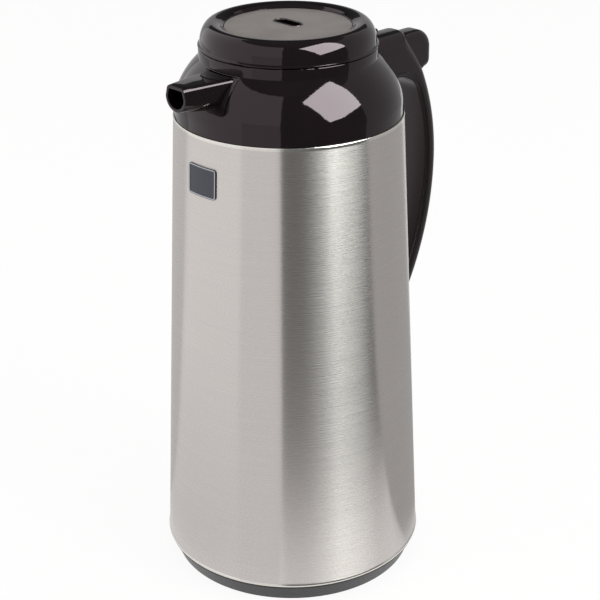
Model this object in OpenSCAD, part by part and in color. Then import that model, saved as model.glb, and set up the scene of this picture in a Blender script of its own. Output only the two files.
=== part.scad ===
// Thermal carafe with a flip lid, a thumb lever in the handle head and a glass vacuum liner.
// Origin at the centre of the foot's underside, +Z up, spout towards -X, handle towards +X.

/* [Steel sleeve] */
// Height of the foot below the sleeve
foot_h = 10.7; // [8:0.1:16]
// Height of the sleeve
shell_h = 252.3; // [200:0.1:300]
// Outer radius of the sleeve at its lower rim
shell_r_bottom = 72.9; // [70:0.1:80]
// Outer radius of the sleeve at its upper rim
shell_r_top = 61.2; // [61:0.1:64]
// Wall of the sleeve
shell_t = 0.6; // [0.4:0.1:1]
// Height of the rolled bead at each rim
bead_h = 1.6; // [1:0.1:3]
// How far each bead stands out
bead_out = 0.4; // [0.2:0.1:0.8]

/* [Foot] */
// How far the standing rim lies inside the sleeve's lower rim
foot_taper = 4.7; // [3:0.1:8]
// Width of the foot's standing rim
foot_rim_w = 6; // [4:0.5:8]
// Wall of the foot and of the bottom cover
foot_t = 2.4; // [2:0.1:3.5]
// Radius of the screw-in bottom cover
cover_r = 50; // [42:0.5:52]
// How far the cover is recessed above the table
cover_recess = 3; // [2:0.5:5]
// Height of the cover's collar
cover_collar_h = 9; // [6:0.5:12]
// Finger recesses in the cover
grip_count = 2; // [2:1:4]

/* [Glass liner] */
// Outer radius of the liner
liner_r = 58.5; // [54:0.1:59]
// Glass wall
glass_t = 2; // [1.5:0.1:2.5]
// Vacuum gap between the walls
vacuum_gap = 4.5; // [3:0.1:6]
// Radius of the pouring mouth
mouth_r = 27; // [24:0.1:28]
// Vacuum gap in the neck
mouth_gap = 2.5; // [1.5:0.1:3]
// Height of the straight neck
liner_neck_h = 14; // [10:0.5:18]
// Corner radius of the liner's shoulder and bottom
liner_corner_r = 23; // [16:0.5:24]
// Radius of the sealed tip under the liner
tip_r = 3; // [2:0.1:4]
// Length of the sealed tip
tip_h = 6; // [4:0.5:8]
// Height of the rubber cushion under the liner
cushion_h = 11; // [9:0.5:14]
// Thickness of the gasket on the liner's lip
neck_gasket_h = 2.5; // [1.5:0.1:4]

/* [Shoulder and neck] */
// Height of the vertical band above the sleeve
dome_band_h = 5.65; // [3:0.05:9]
// Radius of the dome's arc
dome_arc_r = 21.5; // [18:0.1:26]
// Angle the arc turns through before the straight slope
dome_arc_deg = 37.4; // [30:0.1:45]
// Outer radius of the neck
neck_r = 47; // [46:0.1:50]
// Height of the neck above the crease
neck_h = 5.6; // [4:0.1:8]
// Wall of the shoulder and the collar
plastic_t = 2; // [1.6:0.1:2.6]
// Depth of the spigot inside the sleeve
spigot_h = 9; // [6:0.5:14]

/* [Pour collar] */
// Height of the collar from the gasket to the neck's top
collar_h = 30.6; // [30:0.1:33]
// Radius of the stopper seat at its lower edge
seat_r = 28.4; // [28.2:0.1:29.5]
// Height of the conical stopper seat
seat_h = 7; // [5:0.1:8]
// How far the seat opens outwards over its height
seat_flare = 3.2; // [2.6:0.1:4]

/* [Spout] */
// Reach of the spout's mouth from the carafe's axis
spout_reach = 77.5; // [70:0.1:86]
// Outer width of the spout's mouth at its flat top
spout_mouth_w = 13.6; // [12:0.1:15]
// Outer width of the spout's mouth at its round bottom
spout_mouth_low_w = 15.4; // [14:0.1:17]
// Outer height of the spout's mouth
spout_mouth_h = 13.4; // [12:0.1:16]
// Outer width of the spout at its root
spout_root_w = 25; // [22:0.1:28]
// Outer height of the spout at its root
spout_root_h = 17; // [15:0.1:18]
// Radius of the spout's lower corners at its root
spout_root_r = 3; // [2.5:0.1:6]
// Wall of the spout
spout_t = 1.4; // [1:0.1:2]
// How far the spout's top lies below the crease
spout_drop = 0.3; // [0.2:0.1:3]
// Width of the flange round the root at its upper edge
flange_top_w = 24.2; // [24:0.1:27]
// Width of the flange at its lower edge
flange_low_w = 26.8; // [25:0.1:30]
// Height of the flange
flange_h = 16.8; // [16:0.1:19]
// Radius of the flange's lower corners
flange_corner_r = 2; // [1:0.1:4]
// Thickness of the flange
flange_t = 0.9; // [0.6:0.1:1.5]

/* [Lid] */
// Outer radius of the lid's skirt
lid_r = 47.2; // [46.5:0.1:50]
// Height of the lid above the seam
lid_h = 12.4; // [11.5:0.1:15]
// How far the lip at the skirt's lower edge stands out
lip_out = 1; // [0.6:0.1:1.2]
// Height of the lip
lip_h = 1.4; // [1:0.1:2]
// Radius of the lid's crest
crest_r = 39.5; // [38.5:0.1:41]
// Radius of the recessed top plate
disc_r = 34.8; // [32:0.1:35.5]
// Depth of the recess above the plate
disc_depth = 2.5; // [1.5:0.1:3]
// Thickness of the top plate
disc_t = 1.8; // [1.4:0.1:2.4]
// How far the top plate's centre is raised
plate_crown = 1.1; // [0.5:0.1:1.5]
// Length of the slot in the top plate
slot_l = 17.4; // [12:0.1:20]
// Width of the slot in the top plate
slot_w = 7; // [5:0.1:8]
// Wall of the lid cap
lid_t = 2.2; // [1.6:0.1:2.6]
// Gap at the seam between lid and neck
seam_gap = 0.4; // [0.3:0.1:0.8]

/* [Stopper and valve] */
// Wall of the stopper
stopper_t = 2; // [1.6:0.1:2.4]
// Outer radius of the stopper below the flange
stopper_r_top = 33.6; // [32:0.1:34]
// Thickness of the stopper's flange
stopper_flange_t = 2; // [1.6:0.1:2.2]
// Radius of the valve port
port_r = 12.5; // [10:0.1:14]
// Radius of the valve disc
valve_r = 16.5; // [15:0.1:18]
// Lift of the valve when the lever is pressed
valve_lift = 5.5; // [3:0.1:5.5]
// Radius of the valve's guide stem
stem_r = 3; // [2.5:0.1:4]
// Outer radius of the spring cup
cup_r = 11.5; // [10.5:0.1:12]
// Half width of the valve's rear arm
valve_arm_half = 4; // [3:0.1:5]
// Number of pour windows in the stopper
window_count = 5; // [3:1:5]
// Height of a pour window
window_h = 8; // [6:0.1:9]
// Width of a pour window
window_w = 12; // [8:0.1:14]
// Thickness of the valve's rubber seal
valve_seal_h = 1.5; // [1:0.1:2]

/* [Handle] */
// Reach of the handle's back from the carafe's axis
handle_reach = 110.8; // [108:0.1:120]
// Width of the handle
handle_w = 20; // [19:0.1:26]
// Thickness of the grip
grip_t = 9.2; // [9:0.1:12]
// Radius of the grip's outer long edges
grip_edge_r = 5.6; // [4:0.1:5.8]
// Radius of the grip's inner long edges
grip_inner_r = 2.8; // [2:0.1:3]
// Thickness of the grip's inner cover
insert_t = 3.2; // [3:0.1:3.4]
// Height of the handle's widest point
handle_mid_z = 212.5; // [195:0.5:225]
// Radius of the back's upper arc
back_upper_r = 126; // [115:1:140]
// Radius of the back's lower arc
back_lower_r = 158; // [150:1:180]
// How far the head's top lies below the crease
head_drop = 2.1; // [1.5:0.1:4]
// Height of the handle head
head_h = 25.8; // [24:0.1:30]
// Radius of the arch under the head
arch_r = 18; // [12:0.1:20]
// Height of the handle's lower end
handle_foot_z = 112; // [111:0.5:120]
// How far the inner cover ends above the handle's lower end
insert_rise = 12; // [11:0.5:16]
// Thickness of the head's roof
head_roof_t = 3; // [2:0.1:4]
// Thickness of the lower bracket
bracket_t = 2.4; // [1.6:0.1:3]

/* [Lid hinge] */
// Distance of the hinge pin behind the neck
hinge_back = 4.5; // [4.2:0.1:6]
// Depth of the hinge pin below the lid seam
hinge_drop = 2.3; // [2:0.1:3]
// Radius of the hinge pin
hinge_pin_r = 1.5; // [1.2:0.1:1.8]
// Outer radius of the hinge knuckles
knuckle_r = 3; // [2.6:0.1:3.3]
// Half length of the hinge pin
hinge_half = 14; // [13:0.1:18]
// Width of each ear on the handle
ear_w = 3.4; // [3:0.1:4]
// Opening angle of the lid
lid_open_deg = 100; // [90:1:105]

/* [Thumb lever] */
// Half width of the thumb pad
lever_half = 7.6; // [6.5:0.1:7.8]
// Half width of the lever's front arm
lever_arm_half = 4.2; // [3:0.1:4.6]
// Radius of the thumb pad's round back
pad_r = 13.2; // [12:0.1:14]
// How far the pad's top lies below the head's top
pad_drop = 2.8; // [2:0.1:5]
// Distance of the pad's centre in front of the handle's back
pad_inset = 18.3; // [17:0.1:20]
// Radius of the pad's lower lobe
lobe_r = 5.3; // [4:0.1:6]
// Distance of the lever pin in front of the pad's centre
lever_pin_inset = 20.5; // [18.5:0.1:22]
// Depth of the lever pin below the head's top
lever_pin_drop = 12.5; // [11:0.1:14]
// Radius of the lever pin
lever_pin_r = 2; // [1.5:0.1:2.5]
// Press angle of the lever
lever_deg = 9; // [5:0.5:9]

/* [Badge plate] */
// Width of the plate on the sleeve
badge_w = 20.4; // [14:0.1:28]
// Height of the plate
badge_h = 16.2; // [10:0.1:24]
// Thickness of the plate
badge_t = 0.7; // [0.4:0.1:1.2]
// Height of the plate's lower edge above the table
badge_z = 231.6; // [180:0.1:240]
// Corner radius of the plate
badge_corner_r = 2; // [1:0.1:4]

/* [Springs and screws] */
// Wire diameter of the valve spring
valve_wire = 1; // [0.8:0.1:1.2]
// Curls of the valve spring
valve_curls = 7; // [5:1:9]
// Wire diameter of the lever spring
lever_wire = 0.8; // [0.6:0.1:0.9]
// Curls of the lever spring
lever_curls = 5; // [3:1:6]
// Shank radius of the screws
screw_r = 1.5; // [1.2:0.1:1.8]
// Head radius of the screws
screw_head_r = 2.8; // [2.4:0.1:3.2]
// Head height of the screws
screw_head_h = 1.8; // [1.4:0.1:2.2]

/* [Fits] */
// Gap between pieces that sit in each other
seat_gap = 0.15; // [0.1:0.05:0.2]
// Gap between pieces that move past each other
move_gap = 0.3; // [0.25:0.05:0.4]
// Radial clearance of pins in their holes
pin_gap = 0.05; // [0.03:0.01:0.08]

/* [Hidden] */
$fn = 64;
over = 1;

// Heights and radii that follow from the driving sizes
shell_z = foot_h + shell_h;
foot_r = shell_r_bottom - foot_taper;
function shell_r(z) = shell_r_bottom + (shell_r_top - shell_r_bottom) * (z - foot_h) / shell_h;
function sleeve_inner(z) = shell_r(z) - shell_t;
dome_r = shell_r_top - shell_t - seat_gap;
arc_x = dome_r - dome_arc_r;
arc_z = shell_z + dome_band_h;
slope = cos(dome_arc_deg) / sin(dome_arc_deg);
crease_z = arc_z + dome_arc_r * sin(dome_arc_deg)
    + (arc_x + dome_arc_r * cos(dome_arc_deg) - neck_r) * slope;
neck_z = crease_z + neck_h;
seam_z = neck_z + seam_gap;
lid_z = seam_z + lid_h;

// Liner, seated between the cushion and the neck gasket
cover_z = cover_recess + foot_t;
liner_z = cover_z + cushion_h;
collar_z = neck_z - collar_h;
liner_top = collar_z - neck_gasket_h;
liner_shoulder_z = liner_top - liner_neck_h;
liner_neck_r = mouth_r + 2 * glass_t + mouth_gap;

// Collar and stopper
seat_z = collar_z + 2;
floor_z = seat_z + seat_h;
collar_r = neck_r - plastic_t - seat_gap;
stopper_z = collar_z + 1;
stopper_floor = 2;
gasket_r = seat_r - 1.4;
flange_z = neck_z + 0.7;
flange_r = lid_r - lid_t - seat_gap - 0.3;
window_z = floor_z + 2;

// Spout
spout_mouth_r = spout_mouth_low_w / 2 - 0.1;
spout_root_x = collar_r - plastic_t - 3;

// Valve
seal_z = stopper_z + stopper_floor + move_gap;
valve_z = seal_z + valve_seal_h;
valve_disc_t = 2;
arm_z = flange_z - valve_lift - move_gap - 4;
arm_t = 3;
arm_reach = 40.3;
stem_top = lid_z - disc_depth - disc_t - valve_lift - 0.6;

// Handle: two arcs meet at its widest point, and an arch turns under the head
upper_x = handle_reach - back_upper_r;
lower_x = handle_reach - back_lower_r;
edge_r = min(grip_edge_r, grip_t - insert_t - seat_gap);
head_z = crease_z - head_drop;
head_floor = head_z - head_h;
arch_z = head_floor - arch_r;
arch_reach = back_upper_r - grip_t - arch_r;
arch_x = upper_x + sqrt(arch_reach * arch_reach - (arch_z - handle_mid_z) * (arch_z - handle_mid_z));
arch_deg = atan2(arch_z - handle_mid_z, arch_x - upper_x);
foot_deg = asin((handle_mid_z - handle_foot_z) / (back_lower_r - grip_t)) + 4;
insert_deg = asin((handle_mid_z - handle_foot_z - insert_rise) / back_lower_r);
seat_deg = seat_gap / back_lower_r * 180 / PI;
head_deg = asin((head_z - handle_mid_z) / (back_upper_r - grip_t)) + 2;
cavity_half = lever_half + move_gap + 0.1;
roof_z = head_z - head_roof_t;
slot_end_x = 58;

// Hinge
hinge_x = neck_r + hinge_back;
hinge_z = seam_z - hinge_drop;
ear_in = lever_arm_half + 1;
lug_in = ear_in + ear_w + move_gap;
lug_out = hinge_half - 0.6;

// Lever: at rest, and where its lobe goes when it is pressed
pad_x = handle_reach - pad_inset;
lever_pin_x = pad_x - lever_pin_inset;
cavity_x = lever_pin_x - 8;
pin_z = head_z - lever_pin_drop;
hub_r = 5;
pad_z = head_z - pad_drop - pad_r;
lobe_z = head_floor + lobe_r;
lobe_deg = asin((pad_z - lobe_z) / pad_r);
lobe_x = pad_x + pad_r * cos(lobe_deg) - lobe_r;
pressed_lobe_z = pin_z - (lobe_x - lever_pin_x) * sin(lever_deg) + (lobe_z - pin_z) * cos(lever_deg);
notch_z = pressed_lobe_z - lobe_r - move_gap;
travel_clear = 4.6;
undercut_r = arch_r + insert_t + travel_clear;
lever_tip_x = 36.5;
lever_arm_t = 4.4;
lever_arm_z = arm_z - move_gap;
knee_x = 53;

// Springs
valve_coil_r = 6.6;
lever_coil_r = 2.7;
lever_spring_x = lever_pin_x + 9;
lever_spring_z = head_floor + insert_t;
lever_pocket_z = pin_z + 2;
lever_pocket_r = lever_coil_r + lever_wire / 2 + 0.6;

// Screws
screw_room = 20;
bracket_screw_z = handle_foot_z + 5;
bracket_wall = 5.6;
bracket_head_x = shell_r(bracket_screw_z) + bracket_t + bracket_wall;
shoulder_screw_z = arc_z + 7.4;
shoulder_screw_y = 6.9;
shoulder_screw_x = 56.1;
lid_screw_r = 38.6;
lid_screw_count = 3;

// Points along an arc, from one angle to another
function arc_points(x, y, r, from, to, steps = 10) =
    [for (i = [0 : steps]) let (a = from + (to - from) * i / steps) [x + r * cos(a), y + r * sin(a)]];

// Half section of a bottle with rounded shoulder and bottom
function bottle(r, neck, z0, z1, z2, corner) =
    concat([[0, z0]],
           arc_points(r - corner, z0 + corner, corner, -90, 0),
           arc_points(r - corner, z1 - corner, corner, 0, 90),
           [[neck, z1], [neck, z2], [0, z2]]);

// Half section of everything inside the shoulder's outer face, grown by g
function dome_section(g, low, high) =
    concat([[0, low], [dome_r + g, low]],
           arc_points(arc_x, arc_z, dome_arc_r + g, 0, dome_arc_deg),
           [[neck_r + g, crease_z - g * (1 - sin(dome_arc_deg)) / cos(dome_arc_deg)],
            [neck_r + g, high], [0, high]]);

// Grip section across the width, from radius r0 to r1, with its own corner radii
function grip_section(r0, r1, inner, outer, h = handle_w / 2) =
    concat(inner > 0 ? arc_points(r0 + inner, inner - h, inner, 180, 270, 6) : [[r0, -h]],
           outer > 0 ? arc_points(r1 - outer, outer - h, outer, 270, 360, 8) : [[r1, -h]],
           outer > 0 ? arc_points(r1 - outer, h - outer, outer, 0, 90, 8) : [[r1, h]],
           inner > 0 ? arc_points(r0 + inner, h - inner, inner, 90, 180, 6) : [[r0, h]]);

// Centre line of a coil with a straight end at each side, both along the axis
function coil_path(r, length, wire, curls) =
    let (rings = 8 * curls, lead = 1.2 * wire)
    concat([[r, 0, 0]],
           [for (i = [0 : rings]) [r * cos(45 * i), r * sin(45 * i), lead + (length - 2 * lead) * i / rings]],
           [[r * cos(45 * rings), r * sin(45 * rings), length]]);

function unit(v) = v / norm(v);
function path_dir(p, i) = i == 0 ? unit(p[1] - p[0])
    : i == len(p) - 1 ? unit(p[i] - p[i - 1])
    : unit(unit(p[i + 1] - p[i]) + unit(p[i] - p[i - 1]));
function least_gap(p, wire) =
    min([for (i = [0 : len(p) - 6]) for (j = [i + 5 : len(p) - 1]) norm(p[j] - p[i])]) - wire;

// One unbroken tube of 6 sides along a coil's centre line
module coil(r, length, wire, curls) {
    sides = 6;
    path = coil_path(r, length, wire, curls);
    last = len(path) - 1;
    points = [for (i = [0 : last])
        let (dir = path_dir(path, i), out = unit([path[i][0], path[i][1], 0]),
             flat = unit(out - dir * (dir * out)), side = cross(dir, flat))
        for (k = [0 : sides - 1])
            path[i] + wire / 2 * (cos(360 * k / sides) * flat + sin(360 * k / sides) * side)];
    skin = [for (i = [0 : last - 1]) for (k = [0 : sides - 1])
        let (a = i * sides + k, b = i * sides + (k + 1) % sides)
        for (f = [[a, b + sides, b], [a, a + sides, b + sides]]) f];
    start = [for (k = [1 : sides - 2]) [0, k, k + 1]];
    end = [for (k = [1 : sides - 2]) [last * sides, last * sides + k + 1, last * sides + k]];
    echo(str("least gap of a coil to itself: ", least_gap(path, wire), " mm"));
    polyhedron(points, concat(skin, start, end));
}

// A flat outline in X and Z, given thickness along Y about the middle plane
module slab(half) {
    rotate([90, 0, 0])
        linear_extrude(2 * half, center = true)
            children();
}

// A screw along +Z with its head below z = 0
module screw(length) {
    cylinder(h = length, r = screw_r);
    translate([0, 0, -screw_head_h])
        cylinder(h = screw_head_h, r = screw_head_r);
}

module screw_hole(length) {
    translate([0, 0, -over])
        cylinder(h = length + over, r = screw_r + seat_gap);
}

// The spout's outline across its length: flat top, straight sides, round lower corners
module spout_shape(top_w, low_w, h, r, top) {
    x = low_w / 2 - r;
    z = top - h + r;
    polygon(concat(arc_points(-x, z, r, 180, 270, 8), arc_points(x, z, r, 270, 360, 8),
                   [[top_w / 2, top], [-top_w / 2, top]]));
}

// Tapered body from the mouth to inside the neck, grown by g all round
module spout_body(g, end) {
    top = crease_z - spout_drop + g;
    hull() {
        translate([-spout_reach - end, 0, 0])
            rotate([90, 0, 90])
                linear_extrude(0.01)
                    spout_shape(spout_mouth_w + 2 * g, spout_mouth_low_w + 2 * g, spout_mouth_h + 2 * g,
                                spout_mouth_r + g, top);
        translate([-spout_root_x, 0, 0])
            rotate([90, 0, 90])
                linear_extrude(0.01)
                    spout_shape(spout_root_w + 2 * g, spout_root_w + 2 * g, spout_root_h + 2 * g,
                                spout_root_r + g, top);
    }
}

// Flange on the shoulder round the spout's root, wider at its lower edge
module spout_flange() {
    top = crease_z - spout_drop;
    x = flange_low_w / 2 - flange_corner_r;
    z = top - flange_h + flange_corner_r;
    intersection() {
        translate([-dome_r - flange_t, 0, 0])
            rotate([90, 0, 90])
                linear_extrude(dome_r + flange_t - spout_root_x)
                    polygon(concat(arc_points(-x, z, flange_corner_r, 180, 270, 4),
                                   arc_points(x, z, flange_corner_r, 270, 360, 4),
                                   [[flange_top_w / 2, top], [-flange_top_w / 2, top]]));
        rotate_extrude()
            difference() {
                polygon(dome_section(flange_t, arc_z - over, top));
                polygon(dome_section(0, arc_z - 2 * over, crease_z + over));
            }
    }
}

module base_foot() {
    top_r = shell_r_bottom - 1.6;
    ledge_r = shell_r_bottom - 0.3;
    ledge_z = foot_h - 1.4;
    spigot_z = foot_h + 8;
    bore_r = cover_r + seat_gap;
    color("#3a3a3c")
        rotate_extrude()
            polygon([[foot_r - foot_rim_w, 0], [foot_r, 0], [top_r, ledge_z], [ledge_r, ledge_z],
                     [ledge_r, foot_h], [sleeve_inner(foot_h) - seat_gap, foot_h],
                     [sleeve_inner(spigot_z) - seat_gap, spigot_z],
                     [sleeve_inner(spigot_z) - seat_gap - foot_t, spigot_z],
                     [sleeve_inner(foot_h) - seat_gap - foot_t, cover_z],
                     [bore_r + foot_t, cover_z], [bore_r + foot_t, cover_recess + cover_collar_h],
                     [bore_r, cover_recess + cover_collar_h], [bore_r, cover_recess],
                     [foot_r - foot_rim_w, cover_recess]]);
}

module bottom_cover() {
    recess_l = 17;
    recess_w = 9;
    recess_depth = 1.4;
    color("#333335")
        difference() {
            rotate_extrude()
                polygon([[0, cover_recess], [cover_r, cover_recess], [cover_r, cover_recess + cover_collar_h],
                         [cover_r - foot_t, cover_recess + cover_collar_h], [cover_r - foot_t, cover_z],
                         [0, cover_z]]);
            for (i = [0 : grip_count - 1])
                rotate([0, 0, 360 * i / grip_count])
                    translate([cover_r * 0.62, 0, cover_recess])
                        cube([recess_l, recess_w, 2 * recess_depth], center = true);
        }
}

module liner_cushion() {
    color("#2a2a2a")
        rotate_extrude()
            polygon([[3 * tip_r, cover_z], [liner_r - liner_corner_r, cover_z],
                     [liner_r - liner_corner_r, liner_z], [3 * tip_r, liner_z]]);
}

module glass_liner() {
    t = glass_t;
    g = glass_t + vacuum_gap;
    color("#cfd6d8")
        union() {
            rotate_extrude()
                difference() {
                    polygon(bottle(liner_r, liner_neck_r, liner_z, liner_shoulder_z, liner_top,
                                   liner_corner_r));
                    difference() {
                        polygon(bottle(liner_r - t, liner_neck_r - t, liner_z + t, liner_shoulder_z - t,
                                       liner_top - t, liner_corner_r - t));
                        polygon(bottle(liner_r - g, mouth_r + t, liner_z + g, liner_shoulder_z - g,
                                       liner_top + over, liner_corner_r - g));
                    }
                    polygon(bottle(liner_r - g - t, mouth_r, liner_z + g + t, liner_shoulder_z - g - t,
                                   liner_top + over, liner_corner_r - g - t));
                }
            translate([0, 0, liner_z - tip_h])
                cylinder(h = tip_h + t / 2, r = tip_r);
        }
}

module neck_gasket() {
    inner = liner_neck_r + seat_gap;
    outer = inner + 1.8;
    skirt_z = liner_top - 6;
    color("#d8d4cc")
        rotate_extrude()
            polygon([[mouth_r, liner_top], [inner, liner_top], [inner, skirt_z], [outer, skirt_z],
                     [outer, collar_z], [mouth_r, collar_z]]);
}

module steel_sleeve() {
    low = foot_h;
    high = shell_z;
    color("#b9b4ae")
        difference() {
            rotate_extrude()
                polygon([[sleeve_inner(low), low],
                         [shell_r(low) + bead_out / 2, low],
                         [shell_r(low) + bead_out, low + bead_h / 3],
                         [shell_r(low) + bead_out, low + 2 * bead_h / 3],
                         [shell_r(low + bead_h), low + bead_h],
                         [shell_r(high - bead_h), high - bead_h],
                         [shell_r(high) + bead_out / 2, high - bead_h / 2],
                         [shell_r(high) + bead_out / 2, high - bead_h / 5],
                         [shell_r(high), high],
                         [sleeve_inner(high), high]]);
            bracket_screw_place()
                screw_hole(screw_room);
        }
}

module badge_plate() {
    top = badge_z + badge_h;
    color("#4a4a4e")
        intersection() {
            rotate_extrude()
                polygon([[shell_r(badge_z - over), badge_z - over],
                         [shell_r(badge_z - over) + badge_t, badge_z - over],
                         [shell_r(top + over) + badge_t, top + over],
                         [shell_r(top + over), top + over]]);
            translate([-shell_r_bottom - over, 0, badge_z + badge_h / 2])
                rotate([90, 0, 90])
                    linear_extrude(shell_r_bottom)
                        rounded_plate(badge_w, badge_h, badge_corner_r);
        }
}

// A plate outline with round corners, centred
module rounded_plate(w, h, r) {
    square([w - 2 * r, h], center = true);
    square([w, h - 2 * r], center = true);
    for (x = [-1, 1])
        for (y = [-1, 1])
            translate([x * (w / 2 - r), y * (h / 2 - r)])
                circle(r);
}

// The way through the neck for the lever's front arm
module lever_notch() {
    floor = lever_arm_z - lever_arm_t - 1;
    translate([0, -lever_arm_half - 0.6, floor])
        cube([cavity_x, 2 * lever_arm_half + 1.2, neck_z + over - floor]);
}

module shoulder() {
    t = plastic_t;
    inner_r = dome_arc_r - t;
    low = shell_z - spigot_h;
    line_z = arc_z + inner_r * sin(dome_arc_deg)
        + (arc_x + inner_r * cos(dome_arc_deg) - neck_r + t) * slope;
    color("#1d1a1b")
        difference() {
            rotate_extrude()
                polygon(concat([[dome_r, low]],
                               arc_points(arc_x, arc_z, dome_arc_r, 0, dome_arc_deg),
                               [[neck_r, crease_z], [neck_r, neck_z], [neck_r - t, neck_z],
                                [neck_r - t, line_z]],
                               arc_points(arc_x, arc_z, inner_r, dome_arc_deg, 0),
                               [[dome_r - t, low]]));
            spout_body(seat_gap, 0);
            lever_notch();
            shoulder_screw_places() {
                screw_hole(12);
                translate([0, 0, -2 * screw_head_h])
                    cylinder(h = 2 * screw_head_h, r = screw_head_r + seat_gap);
            }
        }
}

module pour_collar() {
    rim_r = liner_neck_r + 2;
    color("#26231f")
        difference() {
            rotate_extrude()
                polygon([[seat_r - 0.8, collar_z], [rim_r, collar_z], [rim_r, seat_z],
                         [collar_r, floor_z - 2.8], [collar_r, neck_z], [collar_r - plastic_t, neck_z],
                         [collar_r - plastic_t, floor_z - 0.6], [seat_r + seat_flare, floor_z],
                         [seat_r, seat_z]]);
            spout_body(seat_gap, 0);
            lever_notch();
        }
}

module spout() {
    color("#1d1a1b")
        difference() {
            union() {
                spout_body(0, 0);
                spout_flange();
            }
            spout_body(-spout_t, over);
            translate([0, 0, collar_z])
                cylinder(h = 2 * collar_h, r = collar_r - plastic_t);
        }
}

// Sweeps a grip section about a centre in the middle plane, from one angle to another
module sweep(x, z, from, to, r0, r1, inner, outer, h = handle_w / 2) {
    translate([x, 0, z])
        rotate([90, 0, 0])
            rotate([0, 0, from])
                rotate_extrude(angle = to - from)
                    polygon(grip_section(r0, r1, inner, outer, h));
}

module lower_sweep(from, to, d0, d1, inner, outer, h = handle_w / 2) {
    r = back_lower_r - grip_t;
    sweep(lower_x, handle_mid_z, -to, -from, r + d0, r + d1, inner, outer, h);
}

module upper_sweep(to, d0, d1, inner, outer) {
    r = back_upper_r - grip_t;
    sweep(upper_x, handle_mid_z, 0, to, r + d0, r + d1, inner, outer);
}

// The head's block, up to where the rounded back takes over
module head_block() {
    floor = head_floor + insert_t + seat_gap;
    reach = back_upper_r - edge_r;
    top_deg = asin((head_z - handle_mid_z) / reach);
    slab(handle_w / 2)
        polygon(concat([[neck_r - 6, head_z], [neck_r - 6, floor]],
                       arc_points(arch_x, arch_z, arch_r + insert_t + seat_gap, 90, arch_deg),
                       arc_points(upper_x, handle_mid_z, reach, arch_deg, top_deg)));
}

// Rounds the long top edges of the head
module crown_cut() {
    r = edge_r;
    for (side = [-1, 1])
        rotate([90, 0, 90])
            linear_extrude(2 * handle_reach)
                polygon(concat([[side * (handle_w / 2 + over), head_z + over],
                                [side * (handle_w / 2 + over), head_z - r]],
                               [for (p = arc_points(handle_w / 2 - r, head_z - r, r, 0, 90, 8))
                                   [side * p[0], p[1]]],
                               [[side * (handle_w / 2 - r), head_z + over]]));
}

// Room for the lever in the head, open at the back, with a slot for its front arm
module lever_room() {
    low = lever_arm_z - lever_arm_t - 1;
    drop = 8;
    slab(cavity_half)
        polygon([[cavity_x, roof_z], [cavity_x, notch_z], [2 * handle_reach, notch_z],
                 [2 * handle_reach, roof_z]]);
    slab(lever_arm_half + 0.6)
        polygon([[0, low], [knee_x - 1, low], [cavity_x + over, low - drop], [cavity_x + over, roof_z],
                 [slot_end_x, roof_z], [slot_end_x, head_z + over], [0, head_z + over]]);
}

module hinge_ears() {
    for (side = [-1, 1])
        translate([0, side * (ear_in + ear_w / 2), 0])
            slab(ear_w / 2) {
                translate([hinge_x, hinge_z])
                    circle(knuckle_r);
                translate([hinge_x - knuckle_r, head_z - 4])
                    square([2 * knuckle_r, hinge_z - head_z + 4]);
            }
}

module handle() {
    color("#1b191a")
        difference() {
            union() {
                difference() {
                    lower_sweep(0, foot_deg, 0, grip_t, grip_inner_r, edge_r);
                    lower_sweep(-over, insert_deg, -over, insert_t + seat_gap, 0, 0, handle_w);
                }
                upper_sweep(head_deg, insert_t + seat_gap, grip_t, 0, edge_r);
                head_block();
                hinge_ears();
            }
            crown_cut_clear_of_ears();
            for (z = [handle_foot_z - handle_reach, head_z])
                translate([slot_end_x, -handle_w, z])
                    cube([handle_reach, 2 * handle_w, handle_reach]);
            lever_room();
            rotate_extrude()
                polygon(dome_section(seat_gap, shell_z, lid_z));
            cylinder(h = shell_z, r1 = shell_r(0) + bracket_t + seat_gap,
                     r2 = shell_r(shell_z) + bracket_t + seat_gap);
            shoulder_screw_places()
                screw_hole(cavity_x - shoulder_screw_x);
            translate([bracket_head_x, 0, bracket_screw_z])
                rotate([0, -90, 0]) {
                    screw_hole(screw_room);
                    translate([0, 0, -screw_room])
                        cylinder(h = screw_room, r = screw_head_r + move_gap);
                }
            translate([lever_pin_x, 0, pin_z])
                rotate([90, 0, 0])
                    cylinder(h = handle_w - 1.4, r = lever_pin_r + pin_gap, center = true);
            translate([hinge_x, 0, hinge_z])
                rotate([90, 0, 0])
                    cylinder(h = 2 * hinge_half, r = hinge_pin_r + pin_gap, center = true);
        }
}

module crown_cut_clear_of_ears() {
    intersection() {
        crown_cut();
        translate([slot_end_x, -handle_w, head_z - handle_w])
            cube([2 * handle_reach, 2 * handle_w, 2 * handle_w]);
    }
}

module handle_insert() {
    r = grip_inner_r;
    inset = 0.05;
    color("#232021")
        difference() {
            union() {
                lower_sweep(0, insert_deg - seat_deg, 0, insert_t, r, 0);
                upper_sweep(arch_deg, 0, insert_t, r, 0);
                sweep(arch_x, arch_z, arch_deg - over, 90 + over, arch_r + inset,
                      arch_r + insert_t - inset, r, 0, handle_w / 2 - inset);
                translate([0, 0, head_floor])
                    rotate([90, 0, 90])
                        linear_extrude(arch_x)
                            rotate(90)
                                polygon(grip_section(0, insert_t, r, 0));
                translate([lever_spring_x, 0, head_floor + over])
                    cylinder(h = insert_t - over, r = lever_coil_r + lever_wire);
            }
            rotate_extrude()
                polygon(dome_section(seat_gap, shell_z - over, lid_z));
            cylinder(h = shell_z, r1 = shell_r(0) + bracket_t + seat_gap,
                     r2 = shell_r(shell_z) + bracket_t + seat_gap);
        }
}

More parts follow.
